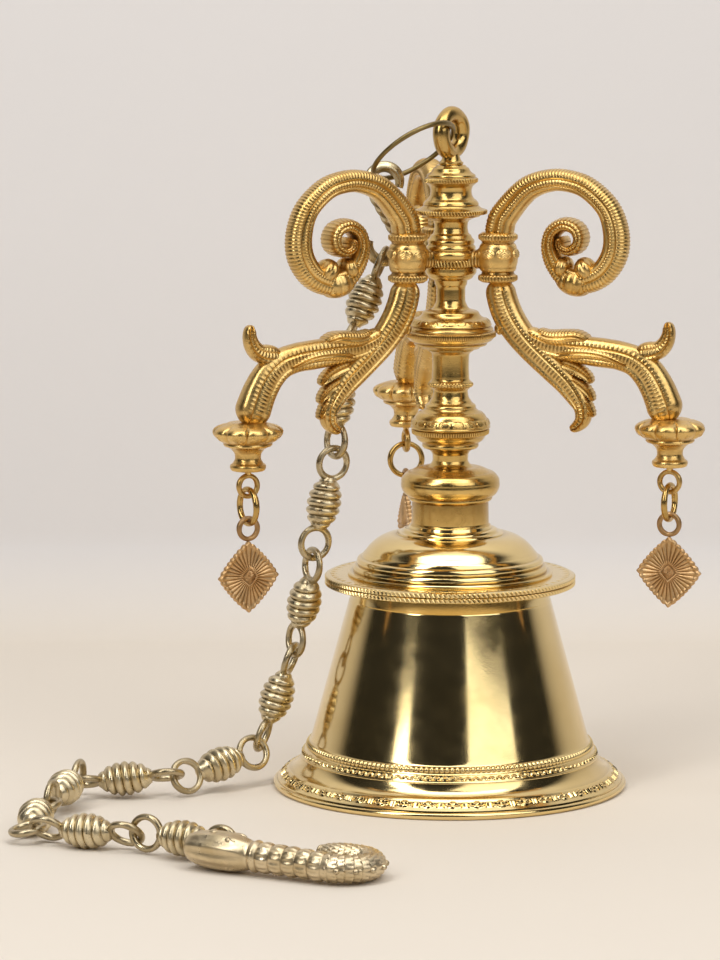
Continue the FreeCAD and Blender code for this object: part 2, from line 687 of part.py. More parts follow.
def loop_body(name, start, sweep, place):
    """Part of a loop of square bar, turned about a level axis through its centre."""
    loop, half = size("s_hook_loop"), size("s_hook_bar") / 2
    body = doc.addObject("PartDesign::Body", name)
    sketch = body.newObject("Sketcher::SketchObject", name + "_section")
    sketch.AttachmentSupport = [(origin_plane(body, "XZ_Plane"), "")]
    sketch.MapMode = "FlatFace"
    corners = [(loop - half, -half), (loop + half, -half), (loop + half, half), (loop - half, half)]
    for index in range(4):
        first, second = corners[index], corners[(index + 1) % 4]
        sketch.addGeometry(Part.LineSegment(Vector(first[0], first[1], 0), Vector(second[0], second[1], 0)), False)
    for index in range(4):
        sketch.addConstraint(Sketcher.Constraint("Coincident", index, 2, (index + 1) % 4, 1))
        sketch.addConstraint(Sketcher.Constraint("Horizontal" if index % 2 == 0 else "Vertical", index))
    left = sketch.addConstraint(Sketcher.Constraint("DistanceX", -1, 1, 0, 1, loop - half))
    low = sketch.addConstraint(Sketcher.Constraint("DistanceY", 0, 1, -1, 1, half))
    wide = sketch.addConstraint(Sketcher.Constraint("DistanceX", 0, 1, 0, 2, 2 * half))
    tall = sketch.addConstraint(Sketcher.Constraint("DistanceY", 1, 1, 1, 2, 2 * half))
    sketch.setExpression("Constraints[%d]" % left, "%s - %s / 2" % (cell("s_hook_loop"), cell("s_hook_bar")))
    sketch.setExpression("Constraints[%d]" % low, "%s / 2" % cell("s_hook_bar"))
    for index in (wide, tall):
        sketch.setExpression("Constraints[%d]" % index, cell("s_hook_bar"))
    turned = spin(body, name + "_turn", sketch)
    turned.Angle = sweep
    stand = STAND_XZ * Rotation(Vector(0, 0, 1), start)
    body.Placement = place * Placement(Vector(0, 0, 0), stand)
    return body


def make_s_hook():
    """Two open loops of square bar, one above the other, joined by a slanting bar."""
    upper, lower = s_hook_centres()
    loop, half, span = size("s_hook_loop"), size("s_hook_bar") / 2, size("s_hook_span")
    slant = math.degrees(math.asin(2 * loop / span))
    sweep = 180.0 + slant - S_HOOK_TIP_ANGLE
    turn = Rotation(Vector(0, 0, 1), S_HOOK_TURN)
    loops = [
        loop_body("s_hook_upper", S_HOOK_TIP_ANGLE, sweep, Placement(upper, turn)),
        loop_body("s_hook_lower", S_HOOK_TIP_ANGLE + 180.0, sweep, Placement(lower, turn)),
    ]
    straight = math.sqrt(span ** 2 - 4 * loop ** 2)
    bar = doc.addObject("Part::Box", "s_hook_shank")
    bind(bar, {"Length": cell("s_hook_bar"), "Width": cell("s_hook_bar")})
    bar.Height = straight
    leaning = turn * Rotation(Vector(0, 1, 0), -slant)
    middle = (upper + lower) * 0.5
    bar.Placement = Placement(middle - leaning.multVec(Vector(half, half, straight / 2)), leaning)
    return fuse("s_hook", loops + [bar])


def heading_vector(heading, dip):
    heading, dip = math.radians(heading), math.radians(dip)
    level = math.cos(dip)
    return Vector(math.cos(heading) * level, math.sin(heading) * level, -math.sin(dip))


def unit(vector):
    return vector / vector.Length


def turned_about(vector, axis, degrees):
    return Rotation(axis, degrees).multVec(vector)


def interlock(ring_before, ring_after, wire_before, wire_after):
    """How far apart the centres of two linked rings are when they just miss each other."""
    return ring_before + ring_after - wire_before - wire_after - size("chain_gap")


def chain_frames():
    """Each link's first ring centre, second ring centre, direction, ring normal and pivot."""
    ring, wire, pitch = size("chain_ring"), size("chain_wire"), size("chain_pitch")
    frames = []
    for heading, dip, twist in CHAIN_ROUTE:
        direction = heading_vector(heading, dip)
        if not frames:
            facing = heading_vector(FIRST_RING_HEADING, 0.0)
            normal = unit(facing - direction * facing.dot(direction))
            pivot = first_link_pivot()
            upward = unit(Vector(0, 0, 1) - normal * normal.z)
            first = pivot - upward * (ring - wire - size("s_hook_bar") / 2 - size("s_hook_gap"))
        else:
            before = frames[-1]
            normal = turned_about(unit(before["normal"].cross(direction)), direction, twist)
            towards = unit(before["normal"].cross(normal))
            if towards.dot(before["direction"]) < 0:
                towards = towards * -1
            first = before["second"] + towards * interlock(ring, ring, wire, wire)
            pivot = before["second"] + towards * ring
        frames.append({"first": first, "second": first + direction * pitch, "direction": direction,
                       "normal": normal, "pivot": pivot})
    return frames


def egg_body(name, radius, half_length, outline, place):
    """A solid turned about its own X. The outline is (share of radius, share of half length)."""
    body = doc.addObject("PartDesign::Body", name)
    corners = [share_corner(u, v, radius, 0.0, half_length) for u, v in outline]
    for corner in (corners[-1], corners[0]):
        corners.append((0.0, corner[1], "0", corner[3]))
    sketch = closed_sketch(body, name + "_outline", corners)
    spin(body, name + "_turn", sketch)
    body.Placement = place * lifted(0, 0, 0, STAND_YZ)
    return body


def make_chain_link(label, frame):
    """A bead with a ring at each end. The rings lie in the link's own XY plane."""
    half_pitch = size("chain_pitch") / 2
    parts = [egg_body(label + "_bead", "bead_radius", "bead_half_length", BEAD_OUTLINE, Placement())]
    for end, side in (("first", -1), ("second", 1)):
        parts.append(torus("%s_%s_ring" % (label, end), "chain_ring", "chain_wire", lifted(side * half_pitch, 0, 0)))
    link = fuse(label, parts)
    middle = (frame["first"] + frame["second"]) * 0.5
    across = frame["normal"].cross(frame["direction"])
    link.Placement = Placement(middle, Rotation(frame["direction"], across, frame["normal"], "XZY"))
    return link


def hook_frame(last):
    """The ceiling hook's eye centre, its shank direction, its plane's normal and its pivot."""
    direction = heading_vector(HOOK_HEADING, HOOK_DIP)
    normal = unit(last["normal"].cross(direction))
    if normal.z < 0:
        normal = normal * -1
    towards = unit(last["normal"].cross(normal))
    if towards.dot(last["direction"]) < 0:
        towards = towards * -1
    spacing = interlock(size("chain_ring"), size("hook_eye_ring"), size("chain_wire"), size("hook_eye_wire"))
    eye = last["second"] + towards * spacing
    return {"eye": eye, "direction": direction, "normal": normal, "pivot": last["second"] + towards * size("chain_ring")}


def make_ceiling_hook(frame):
    """An animal-headed hook. Its shank runs along its own X, and its tail comes back beside it in Y."""
    bend, bar = size("hook_bend"), size("hook_bar")
    head_length, shank = 2 * size("hook_head_half"), size("hook_shank")
    along_x = Rotation(Vector(0, 1, 0), 90)
    head = egg_body("hook_head", "hook_head_radius", "hook_head_half", HEAD_OUTLINE, lifted(head_length / 2, 0, 0))
    bar_start = head_length * 0.45
    shank_end = head_length * 0.5 + shank
    neck = cylinder("hook_neck", cell("hook_bar"), "%g" % (shank_end - bar_start),
                    lifted(bar_start, 0, 0, along_x))
    turn = torus("hook_turn", "hook_bend", "hook_bar", lifted(shank_end, bend, 0, Rotation(Vector(0, 0, 1), -90)))
    turn.Angle3 = 180.0
    tail_length = 20.0
    tail = cone("hook_tail", cell("hook_bar"), "0.35 * %s" % cell("hook_bar"), "%g" % tail_length,
                lifted(shank_end, 2 * bend, 0, Rotation(Vector(0, 1, 0), -90)))
    eye_x, eye_offset = head_length * 0.6, size("hook_eye_offset")
    eye = torus("hook_eye", "hook_eye_ring", "hook_eye_wire", lifted(eye_x, eye_offset, 0))
    stalk_length = eye_offset - size("hook_eye_ring") - bar * 0.5
    stalk = cylinder("hook_stalk", cell("hook_eye_wire"), "%g" % (stalk_length + 0.8),
                     lifted(eye_x, bar * 0.5, 0, Rotation(Vector(1, 0, 0), -90)))
    hook = fuse("ceiling_hook", [head, neck, turn, tail, eye, stalk])
    across = frame["normal"].cross(frame["direction"])
    rotation = Rotation(frame["direction"], across, frame["normal"], "XZY")
    hook.Placement = Placement(frame["eye"] - rotation.multVec(Vector(eye_x, eye_offset, 0)), rotation)
    return hook


# ---------------------------------------------------------------------------------------------
# Build, check and write
# ---------------------------------------------------------------------------------------------

def build():
    under_roof = size("bell_height") - size("bell_wall")
    nut_top = under_roof - size("washer_height")
    hanger_top = nut_top - size("nut_height")
    rod_bottom = hanger_top - 0.5 * size("hanger_height")
    stem, stem_top = make_stem()
    nodes = [make_bell_body()] + stem
    nodes.append(make_suspension_eye(stem_top, rod_bottom))
    nodes += [make_washer(under_roof), make_lock_nut(nut_top), make_clapper_hanger(hanger_top), make_clapper(hanger_top)]
    for side in ARM_TURNS:
        nodes += [make_arm(side), make_socket(side), make_pendant_eye(side)]
        nodes += [make_pendant_link(side), make_pendant(side)]
    nodes += [make_carry_ring(), make_s_hook()]
    frames = chain_frames()
    for number, frame in enumerate(frames, start=1):
        nodes.append(make_chain_link("chain_link_%02d" % number, frame))
    nodes.append(make_ceiling_hook(hook_frame(frames[-1])))
    return nodes


def check_document(nodes):
    for item in doc.Objects:
        if "Invalid" in item.State or "Error" in item.State:
            raise RuntimeError("%s failed: %s" % (item.Label, item.State))
    for node in nodes:
        shape = node.Shape
        if shape.isNull() or not shape.isValid() or shape.Volume <= 0:
            raise RuntimeError("%s has a bad shape" % node.Label)


def write_steps(nodes):
    os.makedirs("parts", exist_ok=True)
    for node in nodes:
        node.Shape.exportStep(os.path.join("parts", node.Label + ".step"))
        box = node.Shape.BoundBox
        print("%-22s solids %d volume %9.0f x %7.1f %7.1f y %7.1f %7.1f z %7.1f %7.1f" % (
            node.Label, len(node.Shape.Solids), node.Shape.Volume,
            box.XMin, box.XMax, box.YMin, box.YMax, box.ZMin, box.ZMax))


sheet = make_sheet()
nodes = build()
doc.recompute()
check_document(nodes)
write_steps(nodes)
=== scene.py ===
import json
import math

import bpy
import numpy as np
from mathutils import Matrix, Vector


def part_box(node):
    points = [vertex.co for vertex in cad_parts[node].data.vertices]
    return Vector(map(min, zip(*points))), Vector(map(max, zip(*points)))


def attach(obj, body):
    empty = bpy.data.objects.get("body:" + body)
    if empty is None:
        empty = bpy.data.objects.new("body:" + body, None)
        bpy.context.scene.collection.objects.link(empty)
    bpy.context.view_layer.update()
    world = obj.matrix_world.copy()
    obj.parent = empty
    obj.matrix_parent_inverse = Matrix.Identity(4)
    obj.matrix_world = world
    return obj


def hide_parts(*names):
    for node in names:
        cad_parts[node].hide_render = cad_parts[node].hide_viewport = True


MM = 0.001
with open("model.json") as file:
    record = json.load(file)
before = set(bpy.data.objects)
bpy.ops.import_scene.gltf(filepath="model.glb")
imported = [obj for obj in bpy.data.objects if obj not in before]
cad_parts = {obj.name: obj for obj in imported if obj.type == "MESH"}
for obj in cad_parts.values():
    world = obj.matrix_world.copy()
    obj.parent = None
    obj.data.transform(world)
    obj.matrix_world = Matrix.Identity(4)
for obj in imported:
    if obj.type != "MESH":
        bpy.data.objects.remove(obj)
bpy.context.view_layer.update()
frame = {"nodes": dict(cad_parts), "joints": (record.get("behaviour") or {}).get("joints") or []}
nodes = frame["nodes"]
axes = {joint["child"]: Vector(joint["axis"]) for joint in frame["joints"]}


# ---------------------------------------------------------------------------------------------
# Materials
# ---------------------------------------------------------------------------------------------

GRAIN_SCALE = 1400.0


def metal(name, light, dark, patina_and_shade_colour, rough, patch=70.0, grain=0.25, patina_and_shade_share=0.8):
    """Cast or turned brass: patches of two tones, recesses darkened with painted shade together with patina,
    fine grain and worn roughness.
    """
    material = bpy.data.materials.new(name)
    material.use_nodes = True
    tree = material.node_tree
    new, link = tree.nodes.new, tree.links.new
    shader = tree.nodes["Principled BSDF"]
    shader.inputs["Metallic"].default_value = 1.0
    place = new("ShaderNodeTexCoord").outputs["Object"]

    def noise(scale, detail=3.0):
        node = new("ShaderNodeTexNoise")
        node.inputs["Scale"].default_value = scale
        node.inputs["Detail"].default_value = detail
        link(place, node.inputs["Vector"])
        return node.outputs["Fac"]

    def ramp(source, low, high, first, last):
        node = new("ShaderNodeMapRange")
        node.inputs["From Min"].default_value = low
        node.inputs["From Max"].default_value = high
        node.inputs["To Min"].default_value = first
        node.inputs["To Max"].default_value = last
        link(source, node.inputs["Value"])
        return node.outputs["Result"]

    def mix(factor, first, last):
        node = new("ShaderNodeMix")
        node.data_type = "RGBA"
        link(factor, node.inputs["Factor"])
        for socket, value in ((node.inputs["A"], first), (node.inputs["B"], last)):
            if isinstance(value, tuple):
                socket.default_value = (*value, 1.0)
            else:
                link(value, socket)
        return node.outputs["Result"]

    patches = noise(patch, 4.0)
    tone = mix(ramp(patches, 0.35, 0.68, 0.0, 1.0), light, dark)
    # Painted shade and patina: concave places (low pointiness) are mixed towards the dark recess colour.
    pointed = new("ShaderNodeNewGeometry").outputs["Pointiness"]
    patina_and_shade_mask = ramp(pointed, 0.5, 0.44, 0.0, patina_and_shade_share)
    link(mix(patina_and_shade_mask, tone, patina_and_shade_colour), shader.inputs["Base Color"])
    link(ramp(noise(patch * 4.0), 0.3, 0.75, rough[0], rough[1]), shader.inputs["Roughness"])
    height = noise(GRAIN_SCALE, 2.0)
    bump = new("ShaderNodeBump")
    bump.inputs["Strength"].default_value = grain
    bump.inputs["Distance"].default_value = 0.0002
    link(height, bump.inputs["Height"])
    link(bump.outputs["Normal"], shader.inputs["Normal"])
    return material


# The fourth colour of each finish is the dark recess colour, painted shade together with patina.
POLISHED = metal("polished_brass", (0.88, 0.69, 0.34), (0.82, 0.62, 0.28), (0.42, 0.27, 0.09), (0.10, 0.17),
                 patch=30.0, grain=0.05)
STEM = metal("stem_brass", (0.72, 0.50, 0.18), (0.58, 0.38, 0.12), (0.30, 0.16, 0.04), (0.18, 0.30),
             grain=0.15)
ARM = metal("arm_brass", (0.80, 0.56, 0.22), (0.64, 0.41, 0.13), (0.26, 0.13, 0.03), (0.24, 0.38),
            grain=0.4)
PENDANT = metal("pendant_brass", (0.68, 0.45, 0.23), (0.52, 0.32, 0.14), (0.17, 0.08, 0.03), (0.34, 0.5),
                grain=0.5)
CHAIN = metal("chain_bronze", (0.72, 0.62, 0.42), (0.56, 0.46, 0.28), (0.18, 0.12, 0.05), (0.24, 0.40),
              grain=0.4)
HOOK = metal("hook_bronze", (0.74, 0.62, 0.42), (0.58, 0.46, 0.27), (0.14, 0.09, 0.04), (0.26, 0.42),
             grain=0.5)
WIRE = metal("wire_bronze", (0.40, 0.31, 0.14), (0.28, 0.21, 0.08), (0.10, 0.06, 0.02), (0.30, 0.45),
             grain=0.3)
PLAIN = metal("plain_brass", (0.70, 0.54, 0.27), (0.56, 0.41, 0.18), (0.22, 0.13, 0.05), (0.32, 0.5),
              grain=0.6)
ZINC = metal("zinc_steel", (0.62, 0.62, 0.60), (0.50, 0.50, 0.49), (0.20, 0.19, 0.18), (0.30, 0.45),
             grain=0.4)


# ---------------------------------------------------------------------------------------------
# Mesh tools. All sizes are in millimetres until a shape is put in place.
# ---------------------------------------------------------------------------------------------

class Shape:
    """Points and faces gathered from several surfaces into one mesh."""

    def __init__(self):
        self.points = []
        self.faces = []
        self.count = 0

    def grid(self, points, wrap_rows=False, wrap_columns=True, caps=False):
        """A surface through a grid of points, optionally closed round either way or capped."""
        rows, columns = points.shape[:2]
        index = np.arange(rows * columns).reshape(rows, columns) + self.count
        down = np.roll(index, -1, axis=0)
        if not wrap_rows:
            index, down = index[:-1], down[:-1]
        right, down_right = np.roll(index, -1, axis=1), np.roll(down, -1, axis=1)
        if not wrap_columns:
            index, right, down, down_right = (part[:, :-1] for part in (index, right, down, down_right))
        self.faces += np.stack([index, right, down_right, down], axis=-1).reshape(-1, 4).tolist()
        if caps:
            first = list(range(self.count, self.count + columns))
            last = [point + (rows - 1) * columns for point in first]
            self.faces += [first[::-1], last]
        self.points.append(points.reshape(-1, 3))
        self.count += rows * columns

    def build(self, name, material, matrix=None, sharp=38.0):
        """Make the object. The matrix takes millimetres in the shape's own frame to the row frame."""
        points = np.concatenate(self.points)
        matrix = np.array(matrix if matrix is not None else Matrix.Identity(4))
        points = (points @ matrix[:3, :3].T + matrix[:3, 3]) * MM
        mesh = bpy.data.meshes.new(name)
        mesh.from_pydata(points.tolist(), [], self.faces)
        mesh.validate()
        mesh.polygons.foreach_set("use_smooth", [True] * len(mesh.polygons))
        mesh.set_sharp_from_angle(angle=math.radians(sharp))
        mesh.materials.append(material)
        item = bpy.data.objects.new(name, mesh)
        bpy.context.scene.collection.objects.link(item)
        return item


def relief_height(kind, u, v):
    """How high the decoration stands, from 0 to 1, over a cell that runs from -1 to 1 both ways."""
    edge = np.clip((1.0 - np.abs(v)) * 4.0, 0.0, 1.0)
    if kind == "bead":
        return np.sqrt(np.clip(1.0 - (u * u + v * v) / 0.9, 0.0, 1.0))
    if kind == "dash":
        slanted = (u + 0.7 * v + 1.0) % 2.0 - 1.0
        return np.sqrt(np.clip(1.0 - (slanted / 0.72) ** 2, 0.0, 1.0)) * edge
    if kind == "rib":
        return np.sqrt(np.clip(1.0 - (u / 0.8) ** 2, 0.0, 1.0)) * edge
    if kind == "arch":
        reach = np.sqrt(u * u + ((v + 0.55) / 1.25) ** 2)
        return np.clip(1.0 - np.abs(reach - 0.72) / 0.26, 0.0, 1.0) * (v > -0.6)
    if kind == "petal":
        return np.sqrt(np.clip(1.0 - u * u, 0.0, 1.0)) * np.sqrt(np.clip(1.0 - v * v, 0.0, 1.0))
    if kind == "leaf":
        half = 0.9 * np.sqrt(np.clip(1.0 - np.clip(v, -1, 1) ** 2, 0.0, 1.0))
        inside = np.clip((half - np.abs(u)) * 5.0, 0.0, 1.0)
        veins = 0.75 + 0.25 * np.cos(14.0 * (v + 1.2 * np.abs(u)))
        return inside * veins * (0.6 + 0.4 * np.abs(u)) * edge
    if kind == "mark":
        inside = np.clip(1.0 - np.abs(np.abs(u) * 1.4 + v * 0.8) / 0.3, 0.0, 1.0)
        return -inside * edge * (np.abs(u) < 0.6)
    trefoil = np.zeros_like(u)
    for x, y, size in ((-0.30, 0.30, 0.24), (0.30, 0.30, 0.24), (0.0, -0.35, 0.28), (0.0, 0.62, 0.16)):
        trefoil = np.maximum(trefoil, np.clip(1.0 - ((u - x) ** 2 + (v - y) ** 2) / size ** 2, 0.0, 1.0))
    slashes = np.clip(1.0 - np.abs(np.abs(np.abs(u) - 0.80) - 0.09) / 0.05, 0.0, 1.0) * (np.abs(v) < 0.5)
    bowl = np.clip(1.0 - np.abs(np.sqrt(u * u + (v - 0.2) ** 2) - 0.62) / 0.09, 0.0, 1.0)
    bowl = bowl * (v < 0.3) * (np.abs(u) < 0.62)
    return np.maximum(np.maximum(np.sqrt(trefoil), slashes), bowl)


def turned(shape, outline, columns=128, centre=(0.0, 0.0), closed=True):
    """Turn an outline about the vertical. A corner is (radius, height, bulge, relief): the bulge of
    the line from the corner before it, and (kind, count, height) for decoration along that line."""
    rows, normals, relief = [], [], []
    for index, corner in enumerate(outline):
        radius, height = corner[:2]
        bulge = corner[2] if len(corner) > 2 else 0.0
        pattern = corner[3] if len(corner) > 3 else None
        if pattern:
            columns = max(columns, min(7 * pattern[1], 1260))
        if index == 0:
            rows.append((radius, height))
            normals.append((0.0, 0.0))
            relief.append(None)
            continue
        before = np.array(outline[index - 1][:2], float)
        along = np.array((radius, height), float) - before
        length = np.linalg.norm(along)
        outward = np.array((along[1], -along[0])) / max(length, 1e-6)
        steps = 14 if pattern else (9 if bulge else 1)
        for step in range(1, steps + 1):
            share = step / steps
            point = before + along * share + outward * bulge * 4.0 * share * (1.0 - share)
            rows.append(tuple(point))
            normals.append(tuple(outward))
            relief.append((pattern, 2.0 * share - 1.0) if pattern else None)
    angles = np.linspace(0.0, 2.0 * math.pi, columns, endpoint=False)
    points = np.zeros((len(rows), columns, 3))
    for row, (radius, height) in enumerate(rows):
        radii, heights = np.full(columns, radius), np.full(columns, height)
        if relief[row]:
            (kind, count, tall), across = relief[row]
            turn = (angles * count / (2.0 * math.pi) + 0.5) % 1.0 * 2.0 - 1.0
            lift = tall * relief_height(kind, turn, np.full(columns, across))
            radii = radii + lift * normals[row][0]
            heights = heights + lift * normals[row][1]
        points[row] = np.stack([centre[0] + radii * np.cos(angles),
                                centre[1] + radii * np.sin(angles), heights], -1)
    shape.grid(points, wrap_rows=closed)


def ring(shape, centre, across, radius, wire, flat=1.0, stretch=1.0, columns=20, rows=72):
    """A round eye or link ring in the plane of the two directions in `across`. Its wire is a little uneven."""
    centre = np.array(centre, float)
    first, second = (np.array(axis, float) for axis in across)
    normal = np.cross(first, second)
    around = np.linspace(0.0, 2.0 * math.pi, rows, endpoint=False)
    section = np.linspace(0.0, 2.0 * math.pi, columns, endpoint=False)
    points = np.zeros((rows, columns, 3))
    for row, angle in enumerate(around):
        outward = first * math.cos(angle) + second * stretch * math.sin(angle)
        thick = wire * (1.0 + 0.05 * math.sin(2.0 * angle + 0.7) + 0.03 * math.sin(5.0 * angle))
        facing = first * math.cos(angle) + second * math.sin(angle)
        middle = centre + outward * radius
        points[row] = (middle + np.outer(np.cos(section) * thick, facing)
                       + np.outer(np.sin(section) * thick * flat, normal))
    shape.grid(points, wrap_rows=True)


def smooth_path(stations, step):
    """Catmull-Rom through the stations, resampled at even steps measured along their first two values."""
    stations = np.array(stations, float)
    ends = np.vstack([2 * stations[0] - stations[1], stations, 2 * stations[-1] - stations[-2]])
    fine = []
    for index in range(1, len(ends) - 2):
        a, b, c, d = ends[index - 1:index + 3]
        for t in np.linspace(0.0, 1.0, 24, endpoint=False):
            fine.append(0.5 * (2 * b + (c - a) * t + (2 * a - 5 * b + 4 * c - d) * t * t
                               + (3 * b - a - 3 * c + d) * t ** 3))
    fine.append(ends[-2])
    fine = np.array(fine)
    gaps = np.linalg.norm(np.diff(fine[:, :2], axis=0), axis=1)
    run = np.concatenate([[0.0], np.cumsum(gaps)])
    count = max(4, int(run[-1] / step))
    even = np.linspace(0.0, run[-1], count)
    return even, np.stack([np.interp(even, run, fine[:, k]) for k in range(fine.shape[1])], axis=-1)


def limb(shape, stations, pattern="plain", step=0.33, columns=44, power=2.6, pitch=2.0, tip=True):
    """A curved arm in the XZ plane. A station is (x, z, half width in the plane, half depth)."""
    run, path = smooth_path(stations, step)
    slope = np.gradient(path[:, :2], axis=0)
    slope /= np.maximum(np.linalg.norm(slope, axis=1), 1e-9)[:, None]
    side = np.stack([-slope[:, 1], slope[:, 0]], axis=-1)
    section = np.linspace(0.0, 2.0 * math.pi, columns, endpoint=False)
    wide = np.sign(np.cos(section)) * np.abs(np.cos(section)) ** (2.0 / power)
    deep = np.sign(np.sin(section)) * np.abs(np.sin(section)) ** (2.0 / power)
    length = run[-1]
    rows = []
    for index, along in enumerate(run):
        half, depth = path[index, 2], path[index, 3]
        lift = pattern_lift(pattern, along, wide, np.abs(deep), pitch)
        if tip:
            end = min(along, length - along) / max(half, 0.1)
            close = math.sqrt(max(0.0, 1.0 - (1.0 - min(end, 1.0)) ** 2))
            half, depth = half * max(close, 0.03), depth * max(close, 0.03)
            lift = lift * close
        across = (half + lift * np.abs(wide)) * wide
        out = (depth + lift * np.abs(deep)) * deep
        rows.append(np.stack([path[index, 0] + side[index, 0] * across, out,
                              path[index, 1] + side[index, 1] * across], -1))
    shape.grid(np.array(rows), caps=True)


def bump_at(value, centre, width):
    return np.exp(-((value - centre) / width) ** 2)


def pattern_lift(pattern, along, wide, deep, pitch):
    """Chased decoration across a limb: `wide` runs from -1 to 1 from one edge to the other."""
    wave = 0.5 + 0.5 * math.cos(2.0 * math.pi * along / pitch)
    bead = max(0.0, math.cos(2.0 * math.pi * along / (pitch * 1.1)))
    if pattern == "scroll":
        ribs = 0.34 * wave * np.clip((wide - 0.30) * 8.0, 0.0, 1.0)
        groove = -1.5 * bump_at(wide, 0.12, 0.09) * deep
        beads = 0.55 * bead * bump_at(wide, -0.22, 0.11) * deep
        second = -0.9 * bump_at(wide, -0.48, 0.07) * deep
        return ribs + groove + beads + second
    if pattern == "ladder":
        ribs = (0.5 * wave - 0.5) * bump_at(wide, -0.05, 0.20) * deep
        grooves = -1.2 * (bump_at(wide, 0.30, 0.07) + bump_at(wide, -0.40, 0.07)) * deep
        beads = 0.4 * bead * (bump_at(wide, 0.52, 0.10) + bump_at(wide, -0.66, 0.10)) * deep
        return ribs + grooves + beads
    if pattern == "leaf":
        lines = bump_at(wide, 0.0, 0.09) + bump_at(wide, 0.5, 0.08) + bump_at(wide, -0.5, 0.08)
        veins = -0.8 * lines * deep
        nicks = 0.35 * wave * bump_at(np.abs(wide), 0.8, 0.3)
        return veins + nicks
    if pattern == "ribs":
        return 0.5 * wave * np.ones_like(wide)
    return np.zeros_like(wide)


def lobe(shape, centre, reach, tilt=0.0, ribs=7, depth=0.10):
    """A ribbed bulb: an egg with grooves from end to end. Reach is its half size along x, y and z."""
    down = np.linspace(0.0, math.pi, 26)
    around = np.linspace(0.0, 2.0 * math.pi, 12 * ribs, endpoint=False)
    swell = 1.0 - depth * (1.0 - np.abs(np.cos(around * ribs / 2.0)))
    turn = math.radians(tilt)
    points = np.zeros((len(down), len(around), 3))
    for row, angle in enumerate(down):
        flat = max(math.sin(angle), 0.02)
        x = reach[0] * flat * np.cos(around) * swell
        y = reach[1] * flat * np.sin(around) * swell
        z = np.full(len(around), reach[2] * math.cos(angle))
        points[row] = np.stack([centre[0] + x * math.cos(turn) + z * math.sin(turn), centre[1] + y,
                                centre[2] - x * math.sin(turn) + z * math.cos(turn)], -1)
    shape.grid(points, caps=True)


def finish_piece(shape, name, material, body, replaced, matrix=None, sharp=38.0):
    piece = shape.build(name, material, matrix, sharp)
    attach(piece, body)
    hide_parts(*replaced)
    return piece


# ---------------------------------------------------------------------------------------------
# The bell and the stem
# ---------------------------------------------------------------------------------------------

BORE = 3.6
BELL = [
    (84.2, 0.0), (89.8, 0.0), (91.0, 1.0, 0.2), (91.0, 2.9, 0.3), (89.9, 3.6, 0.1), (89.2, 3.6), (89.0, 4.4),
    (88.4, 4.9), (83.9, 8.9, -0.1, ("motif", 44, 0.7)), (83.4, 9.3), (82.9, 9.2), (76.9, 15.6, -0.9),
    (76.6, 16.6, 0.2), (74.9, 19.6, 0.0, ("arch", 120, 0.7)), (74.0, 20.4, -0.1),
    (72.7, 23.6, 0.0, ("bead", 176, 1.0)), (71.9, 24.6, -0.1), (71.4, 26.0), (52.2, 96.4), (51.6, 98.0, 0.1),
    (50.0, 104.9), (BORE, 104.9), (BORE, 100.7), (46.0, 100.7), (47.8, 97.6, 0.4), (67.66, 24.0),
    (70.5, 19.9, -0.3), (80.1, 7.3, -0.5),
]
FLANGE = [
    (BORE, 104.9), (63.2, 104.9), (64.0, 105.3), (64.0, 107.5, 0.0, ("dash", 160, 0.6)), (63.2, 107.7),
    (64.0, 107.9),
    (64.0, 110.0, 0.0, ("dash", 160, 0.6)), (63.0, 110.5), (61.8, 110.5),
    (56.4, 110.5, 0.0, ("mark", 60, 0.5)),
    (BORE, 110.5),
]
DOME = [
    (47.0, 110.5), (52.3, 110.5), (52.3, 112.2, 0.5), (49.8, 112.4), (49.3, 115.4, 0.5), (47.8, 115.8),
    (47.4, 119.0, 0.5), (45.6, 119.6), (43.8, 122.2, 0.2), (27.6, 131.6, 2.3), (27.4, 132.2), (25.2, 132.4),
    (24.2, 133.9, -0.3), (21.6, 134.5, 0.2), (20.9, 136.0), (BORE, 136.0), (BORE, 131.0), (28.0, 127.9, -0.6),
    (38.7, 123.3, -0.6), (44.0, 118.2, -0.4),
]
KNOB = [
    (BORE, 136.0), (20.6, 136.0), (19.9, 138.0, -0.3), (19.7, 148.2), (20.6, 148.8), (21.6, 150.9, 0.5),
    (22.2, 151.2), (24.9, 154.6, 0.4), (25.3, 158.2, 0.3), (24.2, 161.4, 0.4), (20.6, 163.8, 0.5),
    (13.9, 166.2, 0.4),
    (9.4, 168.6, -0.8), (9.1, 169.5), (BORE, 169.5),
]
BULB = [
    (BORE, 169.5), (9.1, 169.5), (9.2, 172.4), (11.8, 175.4, -0.4), (13.6, 175.8), (14.4, 178.2, 0.5),
    (14.7, 178.8), (17.9, 181.9, 0.5), (19.0, 183.0), (19.3, 185.8, 0.1, ("rib", 96, 0.7)), (20.2, 186.2),
    (20.2, 187.4, 0.3), (18.6, 191.4, 0.5, ("leaf", 18, 0.35)), (16.2, 194.4, 0.3), (13.0, 196.6, -0.4),
    (12.2, 198.6, 0.4),
    (10.4, 200.6, -0.3), (9.1, 203.6, -0.3), (8.9, 205.0), (BORE, 205.0),
]
COLUMN = [
    (BORE, 205.0), (8.9, 205.0), (9.6, 206.4, -0.2), (10.6, 207.4), (10.9, 209.8, 0.2, ("bead", 42, 0.8)),
    (10.4, 210.4), (9.6, 212.4, -0.3), (9.5, 223.0, -0.2), (10.8, 225.4, -0.4), (11.8, 226.2), (11.8, 227.3),
    (BORE, 227.3),
]
